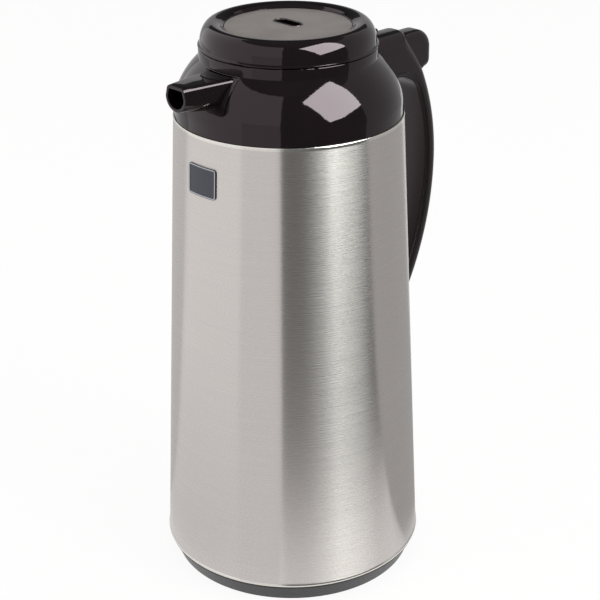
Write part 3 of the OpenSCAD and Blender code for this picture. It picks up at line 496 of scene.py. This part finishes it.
def weld(obj, extra, sharp=30):
    """Adds a bmesh in mm to a finished piece."""
    to_metres(extra)
    mesh = bpy.data.meshes.new("extra")
    extra.to_mesh(mesh)
    extra.free()
    both = bmesh.new()
    both.from_mesh(obj.data)
    both.from_mesh(mesh)
    both.to_mesh(obj.data)
    both.free()
    bpy.data.meshes.remove(mesh)
    obj.data.set_sharp_from_angle(angle=math.radians(sharp))


def cut(obj, *shapes, sharp=30):
    """Takes shapes in mm out of a piece, for good."""
    cutters = [piece("cutter", shape) for shape in shapes]
    for cutter in cutters:
        mod = obj.modifiers.new("cut", "BOOLEAN")
        mod.object = cutter
        mod.operation = "DIFFERENCE"
        mod.solver = "EXACT"
    made = bpy.data.meshes.new_from_object(obj.evaluated_get(bpy.context.evaluated_depsgraph_get()))
    obj.modifiers.clear()
    obj.data = made
    bm = bmesh.new()
    bm.from_mesh(made)
    bmesh.ops.remove_doubles(bm, verts=bm.verts[:], dist=0.002 * MM)
    bmesh.ops.dissolve_degenerate(bm, edges=bm.edges[:], dist=0.002 * MM)
    bm.to_mesh(made)
    bm.free()
    for poly in made.polygons:
        poly.use_smooth = True
    made.set_sharp_from_angle(angle=math.radians(sharp))
    for cutter in cutters:
        bpy.data.objects.remove(cutter, do_unlink=True)


def stand_in(obj, body, node):
    """A piece rides on its body and replaces its CAD node."""
    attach(obj, body)
    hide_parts(node)


# ---------------------------------------------------------------- outlines that several pieces share
def sleeve_r(z):
    """Outer radius of the sleeve's wall at a height."""
    return SLEEVE_R_LOW + (SLEEVE_R_HIGH - SLEEVE_R_LOW) * (z - FOOT_H) / (SLEEVE_TOP - FOOT_H)


def dome_arcs(grow, steps=18):
    """The two arcs of the shoulder's outer face, grown outwards, up to where the neck starts."""
    x, z, r = DOME_ARC
    turn = math.radians(DOME_DEG)
    x2, z2 = x - (DOME_UPPER_R - r) * math.cos(turn), z - (DOME_UPPER_R - r) * math.sin(turn)
    end = math.degrees(math.acos((NECK_R + grow - x2) / (DOME_UPPER_R + grow)))
    upper = arc(x2, z2, DOME_UPPER_R + grow, DOME_DEG, end, steps)
    return arc(x, z, r + grow, 0, DOME_DEG, steps) + upper[1:]


def dome_profile(grow, low, high, steps=18):
    """Outline of the shoulder's outer face and of its neck, grown outwards."""
    return [(DOME_ARC[0] + DOME_ARC[2] + grow, low)] + dome_arcs(grow, steps) + [(NECK_R + grow, high)]


def full_dome(grow, low, high, steps=SIDES):
    """The shoulder and its neck as one full body, grown outwards."""
    return turned([(0.001, low)] + dome_profile(grow, low, high) + [(0.001, high)], steps)


def off_dome(x, y, z):
    """Distance of a point from the shoulder's outer face."""
    cx, cz, r = DOME_ARC
    rad = math.hypot(x, y)
    turn = math.radians(DOME_DEG)
    if z < cz:
        return rad - cx - r
    if z - cz < math.tan(turn) * (rad - cx):
        return math.hypot(rad - cx, z - cz) - r
    more = DOME_UPPER_R - r
    return math.hypot(rad - cx + more * math.cos(turn), z - cz + more * math.sin(turn)) - DOME_UPPER_R


def spout_section(x, grow=0.0):
    """The tapering spout's outline (y, z) at a distance from the axis, grown all round."""
    part = (SPOUT_X - x) / (SPOUT_X - SPOUT_ROOT_X)
    upper, lower, height, r = (size + gain * part for size, gain in zip(MOUTH, MOUTH_GAIN))
    top = SPOUT_Z + grow
    upper, lower, height, r = upper + grow, lower + grow, height + 2 * grow, r + grow
    ease = SPOUT_EASE + min(grow, 0) * 0.9
    base = top - height + r
    return (arc(r - lower, base, r, 180, 270, 12) + arc(lower - r, base, r, 270, 360, 12)
            + arc(upper - ease, top - ease, ease, 0, 90, 5) + arc(ease - upper, top - ease, ease, 90, 180, 5))


def spout_ring(x, grow=0.0):
    """The spout's outline as a ring in space."""
    return [(-x, y, z) for y, z in spout_section(x, grow)]


def spout_on_dome(distance):
    """A ring on the spout's skin where it stands this far off the shoulder."""
    ring = []
    for (y0, z0), (y1, z1) in zip(spout_section(SPOUT_X), spout_section(SPOUT_ROOT_X)):
        low, high = 0.0, 1.0
        for _ in range(30):
            mid = (low + high) / 2
            point = (mid * (SPOUT_X - SPOUT_ROOT_X) - SPOUT_X, y0 + mid * (y1 - y0), z0 + mid * (z1 - z0))
            low, high = (mid, high) if off_dome(*point) > distance else (low, mid)
        ring.append(point)
    return ring


def room_for_body():
    """The room the handle leaves for the shoulder and for the sleeve with its bracket."""
    gap, low = BRACKET_ROOM + SEAT, 60.0
    sleeve = turned([(0.001, low), (sleeve_r(low) + gap, low), (sleeve_r(SLEEVE_TOP) + gap, SLEEVE_TOP),
                     (0.001, SLEEVE_TOP)], CUT_SIDES)
    return full_dome(SEAT, 240.0, 320.0, CUT_SIDES), sleeve


# ---------------------------------------------------------------- body
def make_sleeve():
    """Brushed wall with a polished rolled rim at each end."""
    low, high = FOOT_H, SLEEVE_TOP
    wall = (low + LOW_RIM_H, low + RIM_ROW, high - RIM_ROW, high - HIGH_RIM_H)
    bm = turned([(sleeve_r(low) + out, low + up) for out, up in LOW_RIM] + [(sleeve_r(z), z) for z in wall]
                + [(sleeve_r(high) + out, high + up) for out, up in HIGH_RIM])
    for face in bm.faces:
        z = face.calc_center_median().z
        face.material_index = int(z < low + LOW_RIM_H or z > high - HIGH_RIM_H)
    stand_in(piece("steel_sleeve_skin", bm, STEEL, RIM, sharp=50), "body", "steel_sleeve")


def make_foot():
    """Moulded ring under the sleeve."""
    bm = turned(FOOT_PROFILE)
    round_over(bm, 0.35, 35, 2)
    stand_in(piece("foot_ring", bm, FOOT), "body", "base_foot")


def make_shoulder():
    """Dome and neck, with the ways for the lever's arm and the spout's bore."""
    inner = [(NECK_R - DOME_WALL, NECK_Z)] + dome_arcs(-DOME_WALL, 14)[::-1]
    inner += [(DOME_ARC[0] + DOME_ARC[2] - DOME_WALL, DOME_LOW_Z)]
    bm = turned(dome_profile(0, DOME_LOW_Z, NECK_Z, 28) + inner, 224)
    round_over(bm, 0.4, 60, 3, lambda e: min(v.co.z for v in e.verts) > NECK_Z - 0.1)
    obj = piece("shoulder_dome", bm, GLOSS)
    hole = bmesh.new()
    loops = []
    for x in (41.0, 70.0):
        verts, edges = outline(hole, spout_ring(x, 0.1))
        loops += edges
        hole.faces.new(verts)
    bmesh.ops.bridge_loops(hole, edges=loops)
    cut(obj, slab([(30, WAY_Z), (62, WAY_Z), (62, 305), (30, 305)], WAY_HALF), hole)
    stand_in(obj, "body", "shoulder")


def make_spout():
    """Tapering spout with a square top and a round mouth, and its flange on the shoulder."""
    wall, tip = SPOUT_WALL, SPOUT_X
    rings = [[(0.5 - tip, y, z) for y, z in spout_section(tip)]]
    rings += [spout_ring(x) for x in (72.0, 66.0)] + [spout_on_dome(gap) for gap in (1.3, 0.4, -0.1)]
    rings += [spout_ring(x, grow) for x, grow in
              ((43.4, -wall), (60.0, -wall), (tip - 0.4, -wall), (tip - 0.15, 0.1 - wall), (tip, 0.4 - wall),
               (tip, -0.5), (tip - 0.15, -0.15))]
    obj = piece("spout_shell", loft(rings), GLOSS, sharp=40)
    # flange: a keystone plate bent to the shoulder
    side = FLANGE_LOW_HALF - FLANGE_CORNER
    base = SPOUT_Z - FLANGE_DROP + FLANGE_CORNER
    points = (arc(-side, base, FLANGE_CORNER, 180, 270, 6) + arc(side, base, FLANGE_CORNER, 270, 360, 6)
              + [(FLANGE_TOP_HALF, SPOUT_Z), (-FLANGE_TOP_HALF, SPOUT_Z)])
    bm, _ = thickened([(FLANGE_X, y, z) for y, z in points], (FLANGE_DEEP, 0, 0))
    plate = piece("flange", bm)
    low, high, far = 262.0, 300.0, 90.0
    outer = turned(dome_profile(FLANGE_OUT, low, high) + [(far, high), (far, low)])
    cut(plate, outer, full_dome(-0.1, low, high))
    weld(obj, in_mm(plate), 35)
    stand_in(obj, "body", "spout")


def make_badge():
    """A bare plate with a bright border, bent round the sleeve."""
    side, low, high = BADGE_W / 2 - BADGE_R, BADGE_Z + BADGE_R, BADGE_Z + BADGE_H - BADGE_R
    points = (arc(side, high, BADGE_R, 0, 90, 5) + arc(-side, high, BADGE_R, 90, 180, 5)
              + arc(-side, low, BADGE_R, 180, 270, 5) + arc(side, low, BADGE_R, 270, 360, 5))
    bm, grown = thickened([(0, y, z) for y, z in points], (BADGE_T, 0, 0))
    front = next(g for g in grown if isinstance(g, bmesh.types.BMFace))
    bmesh.ops.inset_region(bm, faces=[front], thickness=BADGE_BEVEL, depth=0.0)
    edge = bmesh.ops.inset_region(bm, faces=[front], thickness=BADGE_RIM, depth=0.0)["faces"]
    bmesh.ops.inset_region(bm, faces=[front], thickness=BADGE_STEP, depth=-BADGE_SUNK)
    for part in edge:
        part.material_index = 1
    for y in range(-9, 10, 3):
        bmesh.ops.bisect_plane(bm, geom=bm.verts[:] + bm.edges[:] + bm.faces[:], plane_co=(0, y, 0),
                               plane_no=(0, 1, 0))
    for v in bm.verts:
        r_here = sleeve_r(v.co.z) + v.co.x
        turn = v.co.y / (sleeve_r(v.co.z) + BADGE_T)
        v.co.x, v.co.y = -r_here * math.cos(turn), r_here * math.sin(turn)
    stand_in(piece("badge_plate_bare", bm, BADGE, BADGE_EDGE), "body", "badge_plate")


# ---------------------------------------------------------------- handle
def on_corner(x, z):
    """Whether a point lies on the head's outer corner."""
    return z > CORNER[1] and x > CORNER[0] - 0.01 and on_arc(x, z, CORNER, CORNER[2])


def handle_radius(x, z):
    """Radius of the handle's long edge: fuller on the head than down the grip, none on the inner faces."""
    if z > HEAD_Z - 0.01 or on_corner(x, z):
        return EDGE_TOP_R
    if z >= MID_Z and on_arc(x, z, UP, BACK_UP, 0.05):
        return EDGE_TOP_R + (EDGE_R - EDGE_TOP_R) * min(1, max(0, (HEAD_Z - EASE_FROM - z) / EASE_OVER))
    return EDGE_R if z < MID_Z and on_arc(x, z, LOW, BACK_LOW, 0.05) else 0.0


def handle_drawn(x, z, back):
    """Where a point of the handle's outer line goes as its edge turns in."""
    if on_corner(x, z):
        if back < CORNER[2]:
            return towards(x, z, CORNER, back)
        level = HEAD_Z - back
        return UP[0] + math.sqrt((BACK_UP - back) ** 2 - (level - MID_Z) ** 2), level
    if z > HEAD_Z - 0.01:
        return x, z - back
    return towards(x, z, UP if z >= MID_Z else LOW, back)


def make_handle():
    """Bow with its head block, the rooms for the lever and the body, and the two hinge ears."""
    shell, inner_low = INSERT_T + SEAT, BACK_LOW - GRIP_T
    points = ([(HEAD_X, HEAD_Z - 22), (HEAD_X, HEAD_Z)] + arc(*CORNER, 90, CORNER_DEG, 6)
              + arc(*UP, BACK_UP, BACK_DEG, 0, 40) + arc(*LOW, BACK_LOW, 0, -FOOT_DEG, 26)[1:]
              + arc(*LOW, inner_low, -FOOT_DEG - 2, -INSERT_DEG, 4)
              + arc(*LOW, inner_low + shell, -INSERT_DEG, 0, 24)
              + arc(*UP, BACK_UP - GRIP_T + shell, 0, ARCH_DEG, 14)[1:]
              + arc(*ARCH[:2], ARCH[2] + shell, ARCH_DEG, 90, 12))
    bm = rounded_slab(points, HALF, handle_radius, handle_drawn)
    round_outline(bm, lambda x, z: z < 134 and on_arc(x, z, LOW, inner_low, 0.05), 5)
    obj = piece("handle_shell", bm, GRIP, sharp=35)
    socket = rod(SOCKET_R, 24, Matrix.Translation(SOCKET_AT) @ spin_by(90, "Y"), 40)
    cut(obj, *room_for_body(), slab(PAD_ROOM, PAD_ROOM_HALF), slab(ARM_WAY, WAY_HALF), socket, sharp=35)
    left, right = HINGE[0] - KNUCKLE_R, HINGE[0] + KNUCKLE_R
    for side in (-1, 1):
        ear = slab([(left, EAR_LOW_Z), (right, EAR_LOW_Z), (right, HINGE[1])]
                   + arc(*HINGE, KNUCKLE_R, 0, 180, 16)[1:-1] + [(left, HINGE[1])], EAR_HALF)
        bmesh.ops.translate(ear, vec=(0, side * EAR_Y, 0), verts=ear.verts[:])
        round_over(ear, 0.4, 60, 3)
        weld(obj, ear, 35)
    stand_in(obj, "body", "handle")


def make_insert():
    """Inner cover along the grip and under the head."""
    inner_up, inner_low = BACK_UP - GRIP_T, BACK_LOW - GRIP_T
    start, end = HEAD_X + 1, 0.06 - INSERT_DEG
    points = ([(start, HEAD_FLOOR)] + arc(*ARCH, 90, ARCH_DEG, 16) + arc(*UP, inner_up, ARCH_DEG, 0, 16)[1:]
              + arc(*LOW, inner_low, 0, end, 24)[1:] + arc(*LOW, inner_low + INSERT_T, end, 0, 24)
              + arc(*UP, inner_up + INSERT_T, 0, ARCH_DEG, 16)[1:]
              + arc(*ARCH[:2], ARCH[2] + INSERT_T, ARCH_DEG, 90, 16)[1:] + [(start, HEAD_FLOOR + INSERT_T)])

    def inside(x, z):
        under_arch = ARCH[1] < z < HEAD_FLOOR + 0.01 and math.hypot(x - ARCH[0], z - ARCH[1]) < ARCH[2] + 0.01
        return (under_arch or z >= MID_Z and on_arc(x, z, UP, inner_up, 0.03)
                or z < MID_Z and on_arc(x, z, LOW, inner_low, 0.03) or abs(z - HEAD_FLOOR) < 0.01)

    bm = slab(points, HALF)
    round_outline(bm, inside, 6)
    obj = piece("handle_inner_cover", bm, COVER, sharp=35)
    cut(obj, *room_for_body(), sharp=35)
    stand_in(obj, "body", "handle_insert")


def make_lever():
    """Thumb pad with its hub, spring pocket and arm."""
    points = ([(STEP_X, STEP_Z), (PAD_FRONT, STEP_Z), (PAD_FRONT, LEVER_TOP)] + arc(*PAD, 90, 0, 16)
              + arc(*LOBE, 0, -90, 12) + arc(*ARCH[:2], CLEAR_R, 44.3, 89, 8) + arc(*PIN, HUB_R, 270, 92, 14))

    def on_pad(x, z):
        return x > PAD[0] - 0.01 and z > PAD[1] - 0.01

    def on_lobe(x, z):
        return x > LOBE[0] - 0.01 and on_arc(x, z, LOBE, LOBE[2])

    def radius(x, z):
        rounded = z > LEVER_TOP - 0.01 or on_pad(x, z) or on_lobe(x, z)
        return LEVER_EDGE_R if x > 85 and rounded else 0.0

    def drawn(x, z, back):
        if on_pad(x, z):
            return towards(x, z, PAD, back)
        return towards(x, z, LOBE, back) if on_lobe(x, z) else (x, z - back)

    obj = piece("thumb_lever_pad", rounded_slab(points, LEVER_HALF, radius, drawn), GRIP, sharp=35)
    pin = rod(PIN_HOLE_R, 30, across(*PIN), 40)
    # the spring's pocket, upright and leaning as far as the lever turns, so that the spring stays clear
    pockets = [rod(POCKET_R, POCKET_DEPTH, Matrix.Translation((POCKET_X, 0, POCKET_TOP)) @ spin_by(lean, "Y")
                   @ Matrix.Translation((0, 0, -POCKET_DEPTH / 2))) for lean in (0, -LEVER_DEG)]
    cut(obj, pin, *pockets, sharp=35)
    arm = slab(ARM, ARM_HALF)
    round_over(arm, 0.5, 25, 2)
    weld(obj, arm, 35)
    stand_in(obj, "lever", "thumb_lever")


# ---------------------------------------------------------------- lid
def make_lid_cap():
    """Domed ring with a lip round its lower edge, and the two hinge lugs."""
    wide, tall, lip_top = LID_R - LIP_OUT - CREST_R, LID_H - LIP_H, SEAM_Z + 0.6 * LIP_H
    skirt = [(LID_R - 0.25, SEAM_Z), (LID_R, SEAM_Z + 0.25), (LID_R, lip_top - 0.2),
             (LID_R - 0.25, lip_top + 0.1)]
    skirt += [(CREST_R + wide * math.cos(math.radians(d)), SEAM_Z + LIP_H + tall * math.sin(math.radians(d)))
              for d in range(0, 91, 5)]
    obj = piece("lid_cap_shell", turned(skirt + RING_SLOPE + CAP_UNDER), GLOSS)
    left, right, back = HINGE[0] - KNUCKLE_R, HINGE[0] + KNUCKLE_R, 43.7
    for side in (-1, 1):
        lug = slab([(back, SEAM_Z + 0.2), (left, SEAM_Z + 0.2), (left, HINGE[1])]
                   + arc(*HINGE, KNUCKLE_R, 180, 360, 16)[1:-1]
                   + [(right, HINGE[1]), (right, 298.2), (53.6, 299.3), (46.0, 302.3), (back, 302.3)],
                   LUG_HALF)
        round_over(lug, 0.4, 40, 3)
        part = piece("lug", lug)
        cut(part, rod(LUG_HOLE_R, 12, across(*HINGE)))
        drilled = in_mm(part)
        bmesh.ops.translate(drilled, vec=(0, side * LUG_Y, 0), verts=drilled.verts[:])
        weld(obj, drilled)
    stand_in(obj, "lid", "lid_cap")


def make_lid_plate():
    """Crowned plate in the ring, with its slot and the raised bead round it."""
    edge = RING_R - SEAT
    bow = (edge ** 2 + CROWN ** 2) / (2 * CROWN)
    crown = DISC_Z + CROWN
    bm = turned([(0.001, DISC_LOW_Z), (edge, DISC_LOW_Z), (edge, DISC_Z - 0.25), (edge - 0.25, DISC_Z)]
                + [(r, crown - bow + math.sqrt(bow ** 2 - r ** 2)) for r in (*range(31, 2, -4), 0.001)], 160)
    obj = piece("lid_top_plate", bm, PLATE)
    ends = arc(0, SLOT_END, SLOT_R, 0, 180, 16) + arc(0, -SLOT_END, SLOT_R, 180, 360, 16)
    cut(obj, thickened([(x, y, 306.0) for x, y in ends], (0, 0, 6))[0])
    obj.data.materials.append(GLOSS)

    def gloss(test):
        """Makes the faces that pass a test glossy."""
        for poly in obj.data.polygons:
            if test(poly):
                poly.material_index = 1

    gloss(lambda poly: abs(poly.normal.z) < 0.1 and math.hypot(poly.center.x, poly.center.y) < 9 * MM)
    bead = [[(x * r / SLOT_R, y + (r - SLOT_R) * math.copysign(math.sqrt(max(0, 1 - (x / SLOT_R) ** 2)), y),
              crown + up) for x, y in ends] for r, up in SLOT_BEAD]
    weld(obj, loft(bead), 40)
    gloss(lambda poly: poly.center.z > (crown + 0.02) * MM)
    stand_in(obj, "lid", "lid_plate")


# ---------------------------------------------------------------- springs
def make_spring(node, body, x, low, high, radius, wire, curls, joint, keep, anchor_z):
    """A wound compression spring with a closed ring at each end."""
    sides, steps = 12, 28
    bm = bmesh.new()
    bmesh.ops.create_circle(bm, segments=sides, radius=wire / 2, matrix=across(radius, low + wire / 2))
    edges = bm.edges[:]
    rise = high - low - wire
    for turns, lift in ((0.8, wire * 0.9), (curls - 1.6, rise - 1.8 * wire), (0.8, wire * 0.9)):
        count = round(turns * steps)
        out = bmesh.ops.spin(bm, geom=edges, axis=(0, 0, 1), cent=(0, 0, 0), dvec=(0, 0, lift / count),
                             angle=TURN * turns, steps=count)["geom_last"]
        edges = [g for g in out if isinstance(g, bmesh.types.BMEdge)]
    bmesh.ops.remove_doubles(bm, verts=bm.verts[:], dist=0.001)
    bmesh.ops.holes_fill(bm, edges=[e for e in bm.edges if e.is_boundary], sides=0)
    bmesh.ops.translate(bm, vec=(x, 0, 0), verts=bm.verts[:])
    obj = piece(node + "_wound", bm, WIRE, sharp=60)
    stand_in(obj, body, node)
    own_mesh(obj)


# ---------------------------------------------------------------- studio
def looks_white(tree):
    """1 for the camera and in reflections, 0 for the light that falls on things."""
    path = add(tree, "ShaderNodeLightPath").outputs
    camera, glossy, through = (path["Is %s Ray" % kind] for kind in ("Camera", "Glossy", "Transmission"))
    seen = add(tree, "ShaderNodeMath", {"operation": "ADD"}, _0=camera, _1=glossy).outputs[0]
    seen = add(tree, "ShaderNodeMath", {"operation": "ADD", "use_clamp": True}, _0=seen, _1=through)
    return seen.outputs[0]


def make_world():
    """White all round, with less of it falling as light."""
    world = bpy.data.worlds.new("white_studio")
    bpy.context.scene.world = world
    world.use_nodes = True
    tree = world.node_tree
    tree.nodes.clear()
    level = spread(tree, looks_white(tree), WHITE_LIGHT, 1.0, (0.0, 1.0))
    back = add(tree, "ShaderNodeBackground", Color=tint("#ffffff"), Strength=level)
    tree.links.new(back.outputs[0], add(tree, "ShaderNodeOutputWorld").inputs[0])


def make_floor():
    """White paper floor that keeps the shadow: mostly glow for the camera, plain paper for light."""
    bm = bmesh.new()
    bmesh.ops.create_grid(bm, x_segments=1, y_segments=1, size=6.0 / MM)
    bmesh.ops.translate(bm, vec=(0, 0, -FLOOR_DROP / MM), verts=bm.verts[:])
    floor = piece("studio_floor", bm)
    mat, tree, shader, _ = material("matt_white_paper")
    shader.inputs["Base Color"].default_value = tint("#f6f5f3")
    shader.inputs["Roughness"].default_value = 0.9
    glow = add(tree, "ShaderNodeEmission", Color=tint("#ffffff"), Strength=1.0)
    part = spread(tree, looks_white(tree), 0.0, FLOOR_GLOW, (0.0, 1.0))
    mix = add(tree, "ShaderNodeMixShader", None, _0=part, _1=shader.outputs[0], _2=glow.outputs[0])
    surface(tree, mix.outputs[0])
    floor.data.materials.append(mat)


def show_in_reflections(card, strength, colour="#ffffff"):
    """Makes a card glow, for reflections only."""
    mat = bpy.data.materials.new(card.name)
    mat.use_nodes = True
    glow = add(mat.node_tree, "ShaderNodeEmission", Color=tint(colour), Strength=strength)
    surface(mat.node_tree, glow.outputs[0])
    card.data.materials.append(mat)
    for ray in ("camera", "diffuse", "shadow", "transmission"):
        setattr(card, "visible_" + ray, False)


def make_card(name, start, end, low, high, strength):
    """A card that only shows in reflections: a line between two points (radius, height), turned."""
    bm = bmesh.new()
    verts, edges = outline(bm, [(r / MM, 0.0, z / MM) for r, z in (low, high)], False)
    bmesh.ops.rotate(bm, verts=verts, cent=(0, 0, 0), matrix=spin_by(start, "Z", 3))
    bmesh.ops.spin(bm, geom=verts + edges, axis=(0, 0, 1), cent=(0, 0, 0), angle=math.radians(end - start),
                   steps=24)
    show_in_reflections(piece(name, bm), strength)


def aimed(bearing, height, distance, aim, roll=0.0):
    """Place and turn of something that faces a point from a bearing and a height, both in degrees."""
    a, e = math.radians(bearing), math.radians(height)
    aim = Vector(aim)
    spot = aim + distance * Vector((math.cos(a) * math.cos(e), math.sin(a) * math.cos(e), math.sin(e)))
    turn = (aim - spot).to_track_quat("-Z", "Y").to_matrix().to_4x4()
    return Matrix.Translation(spot) @ turn @ spin_by(roll, "Z")


def make_window(name, bearing, height, distance, width, tall, roll, strength, aim=(0, 0, 0.28)):
    """A bright panel that only shows in reflections."""
    bm = bmesh.new()
    bmesh.ops.create_grid(bm, x_segments=1, y_segments=1, size=0.5 / MM)
    bmesh.ops.scale(bm, vec=(width, tall, 1), verts=bm.verts[:])
    panel = piece(name, bm)
    panel.data.transform(aimed(bearing, height, distance, aim, roll))
    show_in_reflections(panel, strength, "#f8fffc")


def make_lamp(name, bearing, height, distance, width, tall, watts, aim=(0, 0, 0.24)):
    """A softbox that lights the matt surfaces; its reflection comes from the cards."""
    lamp = bpy.data.lights.new(name, "AREA")
    lamp.shape = "RECTANGLE"
    lamp.size, lamp.size_y = width, tall
    lamp.energy = watts
    obj = bpy.data.objects.new(name, lamp)
    obj.matrix_world = aimed(bearing, height, distance, aim)
    obj.visible_glossy = False
    bpy.context.scene.collection.objects.link(obj)


def make_camera():
    """The photo's view."""
    camera = bpy.data.cameras.new("camera")
    camera.sensor_width = 36.0
    camera.lens = CAMERA_LENS
    obj = bpy.data.objects.new("camera", camera)
    obj.matrix_world = (Matrix.Translation(CAMERA_AT) @ Matrix.Rotation(CAMERA_TURN, 4, "Z")
                        @ Matrix.Rotation(math.pi / 2 - CAMERA_DOWN, 4, "X")
                        @ Matrix.Rotation(CAMERA_ROLL, 4, "Z"))
    bpy.context.scene.collection.objects.link(obj)
    bpy.context.scene.camera = obj


# Pieces that keep their CAD mesh, hidden or seen only with the lid open, and what they are made of
FINISH = {"bottom_cover": FOOT, "liner_cushion": RUBBER, "glass_liner": GLASS, "neck_gasket": SILICONE,
          "pour_collar": INNER, "handle_bracket": ZINC, "nut_plate": ZINC, "bracket_screw": ZINC,
          "shoulder_screws": ZINC, "hinge_pin": ZINC, "lever_pin": ZINC, "stopper": INNER,
          "stopper_gasket": SILICONE, "lid_screws": ZINC, "valve_plug": INNER, "valve_seal": SILICONE}
for node_name, finish in FINISH.items():
    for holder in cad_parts[node_name].material_slots:
        holder.material = finish

for make in (make_sleeve, make_foot, make_shoulder, make_spout, make_badge, make_handle, make_insert,
             make_lever, make_lid_cap, make_lid_plate):
    make()
# node, body, x, low, high, radius, wire, curls, joint, share of its height when squeezed, level that stays
for spring in (("valve_spring", "lid", 0, 275.32, 299.82, 6.6, 1.0, 7, "valve_slide", 0.772, 299.82),
               ("lever_spring", "body", POCKET_X, 268.82, POCKET_TOP, 2.7, 0.8, 5, "lever_press", 0.84,
                268.82)):
    make_spring(*spring)

make_world()
make_floor()
make_camera()
# name, bearing, height and distance, width, height of the panel, watts
for softbox in (("key_softbox", -78, 27, 1.25, 0.75, 0.6, 6.4), ("left_softbox", 160, 35, 1.6, 1.2, 1.2, 4.5),
                ("top_softbox", 30, 80, 1.5, 1.0, 1.0, 4.0)):
    make_lamp(*softbox)
# name, first and last bearing, from and to as radius and height, strength
for card in (("dark_front", -142, -54, (WALL, 0.0), (WALL, 3.2), 0.17),
             ("dark_front_floor", -142, -54, (0.2, 0.0), (WALL, 0.0), 0.17),
             ("grey_right", -54, 15, (WALL, 0.0), (WALL, 2.2), 0.5),
             ("grey_right_floor", -54, 15, (0.09, 0.0), (WALL, 0.0), 0.47),
             ("grey_back", 15, 75, (WALL, 0.0), (WALL, 0.85), 0.58),
             ("dark_back", 15, 75, (WALL, 0.85), (WALL, 3.2), 0.08),
             ("dark_right_top", -54, 15, (WALL, 2.2), (WALL, 3.2), 0.18),
             ("back_left_floor", 60, 110, (0.09, 0.0), (WALL, 0.0), 0.62),
             ("left_floor", 110, 180, (0.3, 0.0), (WALL, 0.0), 0.94),
             ("left_floor_near", 110, 180, (0.09, 0.0), (0.3, 0.0), 0.78),
             ("front_left_floor", 180, 218, (0.09, 0.0), (WALL, 0.0), 0.8),
             ("front_left_low", 180, 218, (WALL, 0.0), (WALL, 0.6), 0.8),
             ("dark_ceiling", 0, 360, (0.01, 3.0), (WALL + 0.1, 3.0), 0.2)):
    make_card(*card)
make_window("key_window", -80, 38, 1.25, 0.95, 0.95, 16, 10.8)
